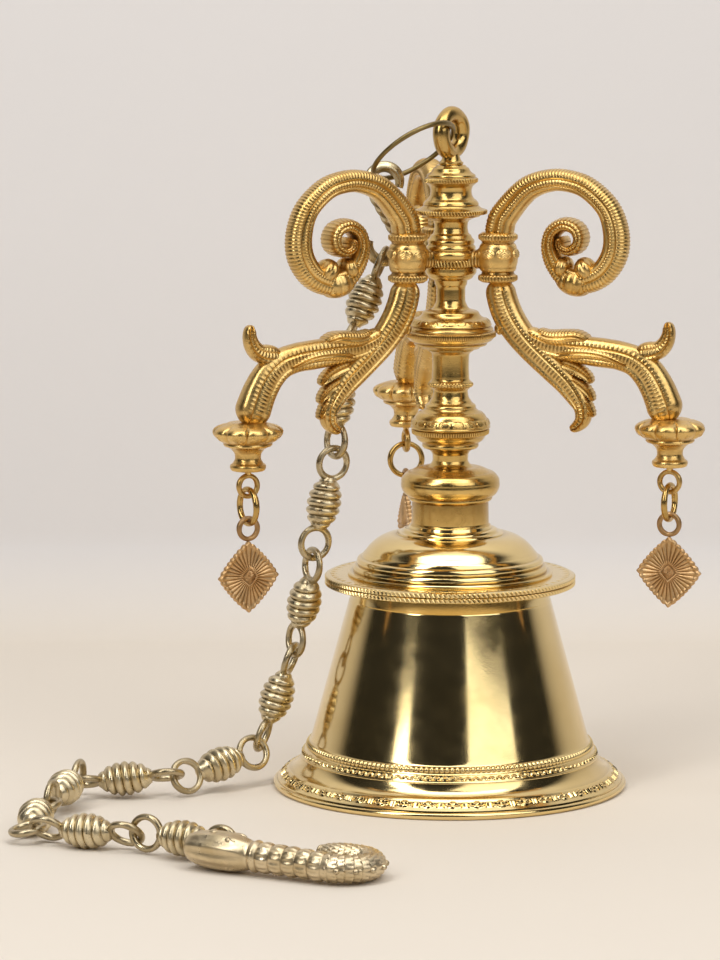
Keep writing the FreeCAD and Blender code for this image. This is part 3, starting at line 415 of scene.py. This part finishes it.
DISC = [
    (BORE, 227.3), (14.7, 227.3), (18.2, 228.9, -0.4), (18.7, 230.0, 0.2), (19.8, 230.8), (21.9, 232.4, 0.3),
    (22.4, 233.0), (22.5, 236.0, 0.2, ("rib", 120, 0.7)), (21.8, 236.5), (21.4, 238.0, 0.3), (20.6, 238.8),
    (20.6, 240.2, 0.4), (18.2, 242.6, 0.3, ("leaf", 24, 0.3)), (14.6, 245.2, -0.5), (13.6, 246.4, 0.2),
    (10.5, 247.3),
    (BORE, 247.3),
]
MID = [
    (BORE, 247.3), (10.5, 247.3), (8.3, 249.6, -0.4), (7.4, 253.0, -0.3), (7.4, 257.0), (8.2, 260.0, -0.3),
    (8.6, 262.3), (BORE, 262.3),
]
HUB = [
    (BORE, 262.3), (8.8, 262.3), (11.8, 264.6, 0.5), (13.1, 267.4, 0.4), (13.1, 268.6), (12.4, 269.2),
    (12.5, 273.0, 0.1, ("dash", 44, 0.7)), (12.6, 273.6), (13.2, 274.4, 0.2), (13.2, 276.6, 0.3),
    (12.2, 277.6),
    (12.4, 279.6, 0.3), (11.6, 280.6), (11.8, 283.0, 0.3), (10.2, 285.4, -0.2), (8.9, 286.8, -0.2),
    (8.7, 288.0),
    (BORE, 288.0),
]
UPPER = [(BORE, 288.0), (8.7, 288.0), (8.5, 290.0, -0.1), (8.7, 291.7), (BORE, 291.7)]
FINIAL = [
    (BORE, 291.7), (8.8, 291.7), (10.4, 293.2, -0.3), (14.7, 294.8, -0.3), (15.2, 295.6), (17.7, 296.0),
    (17.9, 298.3, 0.1, ("dash", 72, 0.7)), (16.4, 298.8), (14.0, 300.6, -0.2), (14.0, 301.6, 0.2),
    (12.4, 303.4, 0.2),
    (10.6, 306.6, -0.4), (10.8, 309.4, -0.2), (12.2, 311.2, -0.2), (13.0, 312.0),
    (13.2, 314.4, 0.1, ("dash", 54, 0.6)),
    (12.4, 315.0), (11.8, 316.4, 0.3), (9.4, 318.8, -0.3), (8.0, 320.0, 0.2), (7.2, 321.0), (BORE, 321.0),
]

TURNED_PIECES = [
    ("bell_body", BELL, POLISHED, "polished_brass"), ("crown_flange", FLANGE, POLISHED, "polished_brass"),
    ("crown_dome", DOME, POLISHED, "polished_brass"), ("neck_knob", KNOB, STEM, "stem_brass"),
    ("lotus_bulb", BULB, STEM, "stem_brass"), ("column", COLUMN, STEM, "stem_brass"),
    ("support_disc", DISC, STEM, "stem_brass"), ("mid_spool", MID, STEM, "stem_brass"),
    ("arm_hub", HUB, STEM, "stem_brass"), ("upper_spool", UPPER, STEM, "stem_brass"),
    ("finial", FINIAL, STEM, "stem_brass"),
]


def make_turned_pieces():
    for node, outline, material, slot in TURNED_PIECES:
        shape = Shape()
        turned(shape, outline, columns=256 if slot == "polished_brass" else 160)
        finish_piece(shape, "turned_" + node, material, "bell", [node], sharp=32.0)


def make_suspension_eye():
    shape = Shape()
    turn = math.radians(57.0)
    level = (math.cos(turn), math.sin(turn), 0.0)
    ring(shape, (0.0, 0.0, 337.2), (level, (0.0, 0.0, 1.0)), 9.6, 4.1, flat=1.05, columns=28, rows=96)
    turned(shape, [(0.4, 90.8), (3.4, 90.8), (3.5, 91.4), (3.5, 320.4), (5.6, 321.0), (6.2, 322.4, 0.3),
                   (4.6, 324.6, -0.3), (4.2, 326.4), (0.4, 326.4)], columns=48)
    finish_piece(shape, "suspension_eye_ring", STEM, "bell", ["suspension_eye"])


# ---------------------------------------------------------------------------------------------
# The scroll arms, their sockets and pendants, in a frame of reach, sideways and height
# ---------------------------------------------------------------------------------------------

ARM_TURNS = {"right": -22.0, "left": 210.0, "back": 100.5}
SCROLL_HUB = (63.2, 284.4)
# The roll of the scroll: direction in degrees, distance from the volute, half width, half depth.
SCROLL_ROLL = [
    (184, 37.6, 7.2, 6.0), (172, 36.8, 7.2, 6.0), (160, 35.9, 7.0, 6.0), (131, 33.4, 6.2, 6.0),
    (107, 31.4, 5.6, 6.0),
    (86, 29.7, 5.4, 6.0), (66, 28.4, 5.5, 6.0), (38, 27.1, 5.8, 6.0), (11, 26.0, 6.4, 6.0),
    (-14, 25.6, 6.6, 6.0),
    (-40, 24.4, 6.4, 6.0), (-65, 22.2, 6.2, 6.2), (-88, 18.8, 5.8, 6.4), (-112, 14.2, 5.0, 6.6),
    (-140, 11.0, 4.4, 6.8),
    (-175, 9.2, 3.9, 7.0), (-215, 8.5, 3.7, 7.2), (-260, 8.2, 3.5, 7.4), (-305, 8.0, 3.4, 7.6),
    (-345, 7.4, 3.2, 7.9),
    (-385, 6.4, 3.0, 8.2), (-430, 5.0, 2.7, 8.5), (-480, 3.7, 2.4, 8.8), (-535, 2.4, 2.2, 9.1),
    (-600, 1.2, 2.0, 9.4),
]
LIMB = [
    (26.2, 264.0, 7.4, 6.0), (27.4, 256.0, 7.6, 6.0), (30.2, 247.5, 7.8, 6.0), (34.8, 239.6, 7.6, 6.0),
    (41.2, 232.0, 7.2, 6.0), (48.8, 225.0, 7.0, 6.0), (56.4, 218.4, 6.8, 5.8), (63.2, 212.2, 6.4, 5.6),
    (68.6, 205.6, 5.6, 5.2), (71.8, 199.6, 4.4, 4.8), (71.8, 193.8, 3.9, 4.4), (68.8, 190.2, 3.0, 3.8),
    (65.0, 188.6, 1.8, 3.0),
]
BRANCH = [
    (40.0, 238.0, 4.0, 5.0), (47.0, 233.4, 5.6, 5.8), (55.0, 230.6, 6.2, 6.0), (64.0, 229.6, 6.8, 6.0),
    (73.0, 229.0, 7.2, 6.0), (82.0, 228.2, 7.4, 6.0), (91.0, 227.2, 7.3, 6.0), (99.5, 224.6, 7.6, 6.0),
    (106.2, 219.2, 8.2, 6.2), (110.9, 212.4, 8.6, 6.6), (114.2, 205.2, 8.9, 7.0), (116.8, 197.8, 9.3, 7.4),
    (117.8, 194.6, 9.4, 7.6),
]
TAIL = [
    (100.0, 229.5, 4.0, 5.0), (106.5, 229.6, 5.2, 5.4), (112.0, 231.0, 4.6, 5.0), (115.4, 234.4, 4.0, 4.4),
    (117.0, 238.6, 3.4, 3.8), (117.0, 242.4, 2.9, 3.2), (116.0, 245.2, 1.8, 2.4),
]
TOP_LEAF = [(47.0, 238.0, 2.2, 4.0), (54.0, 235.4, 3.4, 6.6), (62.0, 235.4, 3.9, 7.0),
            (69.0, 236.2, 3.0, 6.6), (75.5, 234.4, 1.6, 5.0)]
MID_LEAF = [(57.0, 226.0, 2.4, 5.0), (66.0, 227.6, 3.4, 7.0), (76.0, 228.0, 3.2, 7.2),
            (86.0, 226.6, 2.6, 7.0), (97.0, 222.4, 1.6, 6.2)]
LEAFLETS = [
    [(60.0, 222.0, 3.0, 5.4), (68.0, 219.4, 3.4, 5.2), (74.0, 216.0, 2.6, 4.4), (77.0, 212.6, 1.2, 3.0)],
    [(64.0, 214.5, 3.0, 5.2), (71.0, 211.0, 3.0, 4.8), (75.6, 207.0, 2.2, 4.0), (77.6, 203.4, 1.0, 2.8)],
    [(68.0, 207.0, 2.6, 4.8), (73.4, 202.6, 2.6, 4.4), (76.6, 198.0, 1.8, 3.4), (77.2, 195.0, 1.0, 2.6)],
]
DISC_LUG = [(34.0, 241.0, 4.2, 5.0), (28.6, 238.8, 3.4, 4.4), (24.2, 238.2, 2.4, 3.6)]
BRACKET = [(8.0, 273.4, 4.6, 5.0), (12.0, 273.4, 4.4, 4.8), (18.0, 273.4, 4.6, 5.2)]
COLLAR = [
    (1.0, 262.2), (8.4, 262.2), (9.3, 262.8), (9.3, 265.8, 0.2, ("rib", 34, 0.6)), (8.4, 266.4), (8.2, 267.4),
    (9.4, 270.0, 0.4), (10.2, 274.2, 0.2), (9.6, 279.4, 0.3, ("leaf", 7, 1.0)), (8.2, 282.0, 0.3),
    (8.4, 282.8),
    (9.2, 283.6), (9.3, 286.6, 0.2, ("rib", 34, 0.6)), (8.2, 287.4), (1.0, 287.4),
]


def arm_matrix(side):
    return Matrix.Rotation(math.radians(ARM_TURNS[side]), 4, "Z")


def make_arm(side):
    shape = Shape()
    scroll = [(SCROLL_HUB[0] + reach * math.cos(math.radians(angle)),
               SCROLL_HUB[1] + reach * math.sin(math.radians(angle)), half, depth)
              for angle, reach, half, depth in SCROLL_ROLL]
    # The path runs clockwise, so its left side is the scroll's outer edge.
    limb(shape, scroll, "scroll", step=0.26, columns=64, pitch=1.5)
    limb(shape, LIMB, "ladder", columns=52, pitch=2.0)
    limb(shape, BRANCH, "ladder", columns=52, pitch=2.0)
    limb(shape, TAIL, "ladder", columns=36, pitch=1.8)
    limb(shape, TOP_LEAF, "leaf", columns=36, pitch=1.8)
    limb(shape, MID_LEAF, "leaf", columns=36, pitch=1.8)
    for leaflet in LEAFLETS:
        limb(shape, leaflet, "leaf", columns=28, pitch=1.6)
    limb(shape, DISC_LUG, "ribs", columns=28)
    limb(shape, BRACKET, "ribs", columns=28, pitch=1.7, tip=False)
    turned(shape, COLLAR, columns=120, centre=(25.6, 0.0))
    lobe(shape, (60.8, 0.0, 271.0), (5.2, 8.6, 5.8), tilt=12)
    lobe(shape, (73.0, 0.0, 270.2), (5.6, 8.8, 6.4), tilt=-32)
    lobe(shape, (66.8, 0.0, 263.4), (10.0, 7.9, 7.0), tilt=14, ribs=11, depth=0.06)
    finish_piece(shape, "scroll_arm_" + side, ARM, "bell", ["arm_" + side], arm_matrix(side))


SOCKET_REACH = 118.3
PETALS, PETAL_RING, PETAL_HEIGHT = 9, 14.4, 191.0
SOCKET = [
    (0.5, 172.1), (7.8, 172.1), (8.8, 173.0, 0.2), (8.8, 175.2, 0.3), (7.2, 176.8, -0.2), (6.6, 179.4, -0.3),
    (7.6, 182.0, -0.3), (11.8, 184.6, -0.5), (12.4, 185.4), (12.2, 186.2),
    (10.8, 195.8, 4.6, ("petal", PETALS, 1.9)), (10.0, 196.3), (0.5, 196.3),
]


def make_socket(side):
    shape = Shape()
    turned(shape, SOCKET, columns=144, centre=(SOCKET_REACH, 0.0))
    for number in range(PETALS):
        angle = 2.0 * math.pi * number / PETALS
        centre = (SOCKET_REACH + PETAL_RING * math.cos(angle), PETAL_RING * math.sin(angle), PETAL_HEIGHT)
        lobe(shape, centre, (3.2, 3.2, 3.4), ribs=6)
    finish_piece(shape, "petal_socket_" + side, ARM, "bell", ["lotus_socket_" + side],
                 arm_matrix(side))


IN_PLANE = ((1.0, 0.0, 0.0), (0.0, 0.0, 1.0))
SIDEWAYS = ((0.0, 1.0, 0.0), (0.0, 0.0, 1.0))
FLAT = ((1, 0, 0), (0, 1, 0))
PENDANT_MIDDLE = 118.25


def make_pendant_eye(side):
    shape = Shape()
    ring(shape, (SOCKET_REACH, 0.0, 164.3), IN_PLANE, 5.2, 1.35, flat=1.1)
    neck = [(0.3, 169.6), (1.5, 169.6), (1.7, 171.0, -0.1), (2.8, 172.2, -0.2), (0.3, 172.2)]
    turned(shape, neck, columns=32, centre=(SOCKET_REACH, 0.0))
    finish_piece(shape, "socket_eye_" + side, ARM, "bell", ["pendant_eye_" + side],
                 arm_matrix(side))


def link_height(side):
    low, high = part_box("pendant_link_" + side)
    return (low.z + high.z) / 2 / MM


def make_pendant_link(side):
    shape = Shape()
    ring(shape, (SOCKET_REACH, 0.0, link_height(side)), SIDEWAYS, 8.7, 1.5, flat=1.05)
    finish_piece(shape, "ring_link_" + side, STEM, "pendant_link_" + side,
                 ["pendant_link_" + side], arm_matrix(side))


def pendant_face(distance, angles):
    """How far the diamond's face stands out at a share of the way to its edge."""
    flutes = 0.75 * np.abs(np.cos(angles * 16.0)) * min(1.0, distance * 2.4) * (1.0 - 0.35 * distance)
    boss = 1.5 * math.sqrt(max(0.0, 1.0 - (distance / 0.2) ** 2)) if distance < 0.2 else 0.0
    collar = 0.7 * math.exp(-((distance - 0.27) / 0.05) ** 2)
    rim = 0.5 * math.exp(-((distance - 0.93) / 0.06) ** 2)
    return 0.75 + flutes + boss + collar + rim


def make_pendant(side):
    shape = Shape()
    angles = np.linspace(0.0, 2.0 * math.pi, 512, endpoint=False)
    power = 1.18
    edge = (np.abs(np.cos(angles) / 17.0) ** power + np.abs(np.sin(angles) / 18.2) ** power) ** (-1.0 / power)
    edge = edge * (1.0 - 0.035 * (1.0 - np.abs(np.cos(angles * 16.0))))
    rows = []
    shares = list(np.linspace(0.02, 1.0, 40))
    for facing, row_shares in ((1.0, shares), (-1.0, shares[::-1])):
        for share in row_shares:
            stand = pendant_face(share, angles) * (1.0 if share < 0.97 else 0.6)
            rows.append(np.stack([SOCKET_REACH + edge * share * np.cos(angles), facing * stand,
                                  PENDANT_MIDDLE + edge * share * np.sin(angles)], -1))
    shape.grid(np.array(rows), caps=True)
    ring(shape, (SOCKET_REACH, 0.0, 142.7), IN_PLANE, 5.2, 1.3, flat=1.1)
    finish_piece(shape, "diamond_" + side, PENDANT, "pendant_" + side, ["pendant_" + side],
                 arm_matrix(side), sharp=50.0)


# ---------------------------------------------------------------------------------------------
# The carrying ring, the S-hook, the chain and the ceiling hook
# ---------------------------------------------------------------------------------------------

def node_points(node):
    count = len(nodes[node].data.vertices)
    flat = np.zeros(count * 3)
    nodes[node].data.vertices.foreach_get("co", flat)
    return flat.reshape(-1, 3) / MM


def node_middle(node):
    low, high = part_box(node)
    return (low + high) / 2 / MM


def frame_matrix(along, normal, middle):
    """A matrix from x along, y across and z normal to the row frame, in millimetres."""
    normal = Vector(normal).normalized()
    along = Vector(along)
    along = (along - normal * along.dot(normal)).normalized()
    across = normal.cross(along)
    matrix = Matrix((along, across, normal)).transposed().to_4x4()
    matrix.translation = middle
    return matrix


def level_of(points, direction):
    return points @ np.array(direction)


def make_carry_ring():
    shape = Shape()
    ring(shape, (0.0, 0.0, 0.0), FLAT, 23.2, 1.3, columns=16, rows=160)
    normal = axes["carry_ring"]
    place = frame_matrix(Vector((1.0, 0.0, 0.5)), normal, node_middle("carry_ring"))
    finish_piece(shape, "wire_ring", WIRE, "carry_ring", ["carry_ring"], place)


S_HOOK_LOOP, S_HOOK_SPAN, S_HOOK_HALF, S_HOOK_TURN = 8.0, 32.2, 2.3, 10.0


def make_s_hook():
    """A square bar bent into an S and twisted along its middle."""
    slant = math.asin(2 * S_HOOK_LOOP / S_HOOK_SPAN)
    sweep = math.pi + slant + math.radians(20.0)
    path = []
    for share in np.linspace(0.0, 1.0, 60):
        angle = math.radians(-20.0) + sweep * share
        path.append((S_HOOK_LOOP * math.cos(angle), 0.0, S_HOOK_SPAN / 2 + S_HOOK_LOOP * math.sin(angle)))
    half = [np.array(point) for point in path]
    end, start = half[-1], -half[-1]
    shank = [end + (start - end) * share for share in np.linspace(0.0, 1.0, 40)[1:-1]]
    line = np.array(half + shank + [-point for point in half[::-1]])
    slope = np.gradient(line, axis=0)
    slope /= np.linalg.norm(slope, axis=1)[:, None]
    run = np.concatenate([[0.0], np.cumsum(np.linalg.norm(np.diff(line, axis=0), axis=1))])
    corners = np.linspace(0.0, 2.0 * math.pi, 32, endpoint=False) + math.pi / 4
    square = S_HOOK_HALF * (1.16 + 0.12 * np.cos(4.0 * corners - math.pi))
    middle, rows = run[-1] / 2, []
    for point, heading, along in zip(line, slope, run):
        inward = np.cross(heading, (0.0, 1.0, 0.0))
        twist = 2.4 * math.pi * np.clip((along - middle) / 26.0, -0.5, 0.5)
        taper = 0.72 + 0.28 * min(1.0, min(along, run[-1] - along) / 9.0)
        reach = square * taper
        rows.append(point + np.outer(reach * np.cos(corners + twist), inward)
                    + np.outer(reach * np.sin(corners + twist), (0.0, 1.0, 0.0)))
    shape = Shape()
    shape.grid(np.array(rows), caps=True)
    turn = math.radians(S_HOOK_TURN)
    place = Matrix.Translation(node_middle("s_hook")) @ Matrix.Rotation(turn, 4, "Z")
    finish_piece(shape, "twisted_s_hook", CHAIN, "s_hook", ["s_hook"], place, sharp=30.0)


BEAD_LINE = [(-13.6, 3.3), (-12.2, 4.4), (-9.6, 6.6), (-6.0, 8.1), (-2.4, 8.8), (0.0, 8.9), (2.4, 8.8),
             (6.0, 8.1),
             (9.6, 6.6), (12.2, 4.4), (13.6, 3.3)]
BEAD_HALF = 13.6
RIB_PITCH = 4.4
LINK_RING_REACH = 21.0


def make_chain_link(number):
    """A bead with slanting ribs and a ring at each end, along its own x axis."""
    node = "chain_link_%02d" % number
    shape = Shape()
    xs = np.linspace(-BEAD_HALF, BEAD_HALF, 132)
    radii = np.interp(xs, [x for x, _ in BEAD_LINE], [r for _, r in BEAD_LINE])
    around = np.linspace(0.0, 2.0 * math.pi, 48, endpoint=False)
    rows = []
    for x, radius in zip(xs, radii):
        phase = math.pi * x / RIB_PITCH - around / 2.0 + number
        depth = 1.6 * min(1.0, (BEAD_HALF - abs(x)) / 3.0)
        r = radius - depth * (1.0 - np.abs(np.cos(phase)) ** 0.7) * (radius / 8.0)
        rows.append(np.stack([np.full(len(around), x), r * np.cos(around), r * np.sin(around)], -1))
    shape.grid(np.array(rows), caps=True)
    for side in (-1.0, 1.0):
        ring(shape, (LINK_RING_REACH * side, 0.0, 0.0), FLAT, 7.9, 1.7, flat=1.05)
    normal = axes[node]
    points = node_points(node)
    middle = node_middle(node)
    spread = points - np.array(middle)
    along = np.linalg.svd(spread.T @ spread)[0][:, 0]
    place = frame_matrix(along, normal, middle)
    finish_piece(shape, "bead_link_%02d" % number, CHAIN, node, [node], place, sharp=48.0)


HOOK_HEADING, HOOK_DIP = -28.0, 2.0
HOOK_BEND, HOOK_CREST = 14.5, 20.6
# The hook from the snout to the tail tip: (x, y, radius) along its bent centre line.
HOOK_SHANK_END = 77.0
HOOK_STRAIGHT = [(1.0, 0.0, 4.0), (3.0, 0.0, 6.2), (7.0, 0.0, 7.8), (13.0, 0.0, 8.8), (21.0, 0.0, 9.2),
                 (28.0, 0.0, 8.8),
                 (33.0, 0.0, 7.8), (36.0, 0.0, 7.0), (40.0, 0.0, 6.8), (50.0, 0.0, 6.7), (65.0, 0.0, 6.6),
                 (HOOK_SHANK_END, 0.0, 6.5)]
HOOK_END = [(69.0, 29.0, 5.2), (63.0, 29.4, 4.2), (59.0, 29.8, 3.2)]
# Distances along the hook's centre line where its decoration changes, and how often it repeats.
HEAD_END, COLLAR_END, BANDS_END = 36.0, 40.0, 75.0
BAND_PITCH, SCALE_PITCH = 7.0, 3.0


def hook_stations():
    bend = [(HOOK_SHANK_END + HOOK_BEND * math.sin(angle), HOOK_BEND - HOOK_BEND * math.cos(angle),
             6.5 - 0.3 * angle)
            for angle in np.linspace(0.3, math.pi, 9)]
    return HOOK_STRAIGHT + bend + HOOK_END


def hook_lift(run, around):
    """Brow and neck collar on the head, ribbed bands on the shank, and scales round the bend."""
    lift = np.zeros_like(around)
    if run < HEAD_END:
        stripes = 0.35 * np.cos(around * 9.0) * math.sin(math.pi * run / HEAD_END)
        mouth = -2.2 * np.exp(-((around - math.pi * 1.5) / 0.20) ** 2) * math.exp(-((run - 6.0) / 9.0) ** 4)
        return lift + stripes + mouth
    if run < COLLAR_END:
        return lift + 1.0 * math.sin(math.pi * (run - HEAD_END) / 4.0)
    if run < BANDS_END:
        band = (run - COLLAR_END) / BAND_PITCH
        within = band - math.floor(band)
        ridge = 0.9 * math.sin(math.pi * within) ** 0.6
        fine = 0.25 * np.cos(around * 14.0 + 3.0 * math.floor(band)) * math.sin(math.pi * within)
        return lift + ridge - 0.3 + fine
    row = math.floor(run / SCALE_PITCH)
    within = run / SCALE_PITCH - row
    column = (around * 7.0 / math.pi + (row % 2) * 0.5) % 1.0 * 2.0 - 1.0
    scale = np.sqrt(np.clip(1.0 - column ** 2 * 0.9, 0.0, 1.0)) * within
    return lift + 0.75 * scale


def hook_normal():
    """The normal of the hook's plane, turned to point up."""
    normal = axes["ceiling_hook"].normalized()
    return normal if normal.z > 0 else -normal


def make_ceiling_hook():
    """A bar that ends in a curled, scaled tail, with a long-jawed animal's head at the other end."""
    shape = Shape()
    run, path = smooth_path(hook_stations(), 0.4)
    slope = np.gradient(path[:, :2], axis=0)
    slope /= np.linalg.norm(slope, axis=1)[:, None]
    around = np.linspace(0.0, 2.0 * math.pi, 84, endpoint=False)
    rows = []
    for index, along in enumerate(run):
        side = (-slope[index, 1], slope[index, 0])
        radius = np.full(len(around), path[index, 2]) + hook_lift(along, around)
        rows.append(np.stack([path[index, 0] + side[0] * radius * np.cos(around),
                              path[index, 1] + side[1] * radius * np.cos(around),
                              radius * np.sin(around)], -1))
    shape.grid(np.array(rows), caps=True)
    for face in (1.0, -1.0):
        lobe(shape, (15.0, 1.0, 7.2 * face), (3.2, 3.2, 2.6), ribs=5)
        for turn in range(3):
            ring(shape, (15.0, 1.0, (8.0 - 0.35 * turn) * face), FLAT, 1.6 + 1.5 * turn, 0.6,
                 columns=10, rows=40)
        lobe(shape, (26.5, 3.4, 6.6 * face), (5.4, 3.0, 2.4), ribs=9, depth=0.25)
        lobe(shape, (25.0, -4.2, 6.0 * face), (6.4, 2.2, 2.2), ribs=9, depth=0.25)
    for number in range(5):
        lobe(shape, (6.0 + 5.0 * number, 8.2, 0.0), (2.2, 1.8, 2.8), ribs=5)
    for number in range(6):
        angle = math.radians(20.0 + 26.0 * number)
        centre = (HOOK_SHANK_END + HOOK_CREST * math.sin(angle),
                  HOOK_BEND - HOOK_CREST * math.cos(angle), 0.0)
        lobe(shape, centre, (1.8, 1.8, 1.5), ribs=4)
    lobe(shape, (58.0, 30.0, 0.0), (3.2, 3.0, 3.2), ribs=8, depth=0.2)
    ring(shape, (21.6, 13.2, 0.0), FLAT, 5.6, 1.6, flat=1.1)
    heading, dip = math.radians(HOOK_HEADING), math.radians(HOOK_DIP)
    along = Vector((math.cos(heading) * math.cos(dip), math.sin(heading) * math.cos(dip), -math.sin(dip)))
    normal = hook_normal()
    across = normal.cross(along).normalized()
    points = node_points("ceiling_hook")
    start = level_of(points, along).min()
    low = level_of(points, across).min() + 9.4
    flat = (level_of(points, normal).min() + level_of(points, normal).max()) / 2
    middle = along * start + across * low + normal * flat
    place = frame_matrix(along, normal, middle)
    finish_piece(shape, "animal_head_hook", HOOK, "ceiling_hook", ["ceiling_hook"], place,
                 sharp=50.0)


# ---------------------------------------------------------------------------------------------
# The stage
# ---------------------------------------------------------------------------------------------

def matt(name, low, high, edge):
    """A pale matt sheet whose colour changes softly from the table to the wall."""
    material = bpy.data.materials.new(name)
    material.use_nodes = True
    tree = material.node_tree
    shader = tree.nodes["Principled BSDF"]
    shader.inputs["Roughness"].default_value = 0.7
    shader.inputs["Specular IOR Level"].default_value = 0.2
    place = tree.nodes.new("ShaderNodeSeparateXYZ")
    tree.links.new(tree.nodes.new("ShaderNodeTexCoord").outputs["Object"], place.inputs[0])
    share = tree.nodes.new("ShaderNodeMapRange")
    share.inputs["From Min"].default_value, share.inputs["From Max"].default_value = edge
    tree.links.new(place.outputs["Z"], share.inputs["Value"])
    blend = tree.nodes.new("ShaderNodeMix")
    blend.data_type = "RGBA"
    blend.inputs["A"].default_value = (*low, 1.0)
    blend.inputs["B"].default_value = (*high, 1.0)
    tree.links.new(share.outputs["Result"], blend.inputs["Factor"])
    tree.links.new(blend.outputs["Result"], shader.inputs["Base Color"])
    return material


def make_stage():
    """A table that turns up softly into a wall behind the bell."""
    edge, bend, half = 470.0, 60.0, 3600.0
    line = [(-2600.0, 0.0), (-1200.0, 0.0), (0.0, 0.0), (edge - bend, 0.0)]
    line += [(edge - bend + bend * math.sin(angle), bend - bend * math.cos(angle))
             for angle in np.linspace(0.0, math.pi / 2, 16)[1:]]
    line += [(edge, 400.0), (edge, 3200.0)]
    rows = [[(x, y, z) for x in np.linspace(-half, half, 9)] for y, z in line]
    shape = Shape()
    shape.grid(np.array(rows, float), wrap_columns=False)
    paper = matt("backdrop_paper", (0.79, 0.72, 0.63), (0.82, 0.80, 0.80), (0.0, 0.05))
    sheet = shape.build("backdrop", paper)


SOFTBOX_COLOUR = (1.0, 0.99, 0.975)


def softbox(name, azimuth, elevation, distance, width, height, power, target=(0, 0, 0.13)):
    """A rectangular light. Azimuth is from the camera's side, positive to the right."""
    light = bpy.data.lights.new(name, "AREA")
    light.shape = "RECTANGLE"
    light.size, light.size_y = width, height
    light.energy = power
    light.color = SOFTBOX_COLOUR
    item = bpy.data.objects.new(name, light)
    a, e = math.radians(azimuth), math.radians(elevation)
    away = Vector((math.sin(a) * math.cos(e), -math.cos(a) * math.cos(e), math.sin(e)))
    item.location = Vector(target) + away * distance
    item.rotation_mode = "QUATERNION"
    item.rotation_quaternion = away.to_track_quat("Z", "Y")
    bpy.context.scene.collection.objects.link(item)


def make_lights():
    softbox("left_softbox", -43.0, 40.0, 1.7, 0.36, 1.5, 11.0)
    softbox("right_softbox", 36.0, 38.0, 1.7, 1.30, 1.5, 11.5)
    softbox("top_softbox", 0.0, 84.0, 1.5, 1.4, 0.9, 5.0)
    softbox("wall_wash", 0.0, 62.0, 2.4, 3.0, 0.8, 20.0, target=(0.0, 0.47, 0.6))
    world = bpy.data.worlds.new("studio")
    world.use_nodes = True
    backdrop = world.node_tree.nodes["Background"]
    backdrop.inputs["Color"].default_value = (0.95, 0.93, 0.88, 1.0)
    backdrop.inputs["Strength"].default_value = 0.03
    bpy.context.scene.world = world
    bpy.context.scene.view_settings.view_transform = "Standard"


def make_camera():
    camera = bpy.data.cameras.new("camera")
    camera.lens, camera.sensor_width = 168.75, 36.0
    item = bpy.data.objects.new("camera", camera)
    pitch = math.radians(8.0)
    away = 2.313
    item.location = (-0.0464, -away * math.cos(pitch), 0.159 + away * math.sin(pitch))
    item.rotation_euler = (math.radians(82.0), 0.0, 0.0)
    bpy.context.scene.collection.objects.link(item)
    bpy.context.scene.camera = item


# ---------------------------------------------------------------------------------------------
# Build
# ---------------------------------------------------------------------------------------------

def dress_plain_nodes():
    """The parts inside the bell keep their CAD shape and get their finish."""
    finishes = (("clapper", PLAIN), ("clapper_hanger", PLAIN), ("washer", ZINC), ("lock_nut", ZINC))
    for node, material in finishes:
        nodes[node].data.materials.clear()
        nodes[node].data.materials.append(material)


make_turned_pieces()
make_suspension_eye()
for side in ARM_TURNS:
    make_arm(side)
    make_socket(side)
    make_pendant_eye(side)
    make_pendant_link(side)
    make_pendant(side)
make_carry_ring()
make_s_hook()
for number in range(1, 12):
    make_chain_link(number)
make_ceiling_hook()
dress_plain_nodes()
make_stage()
make_lights()
make_camera()
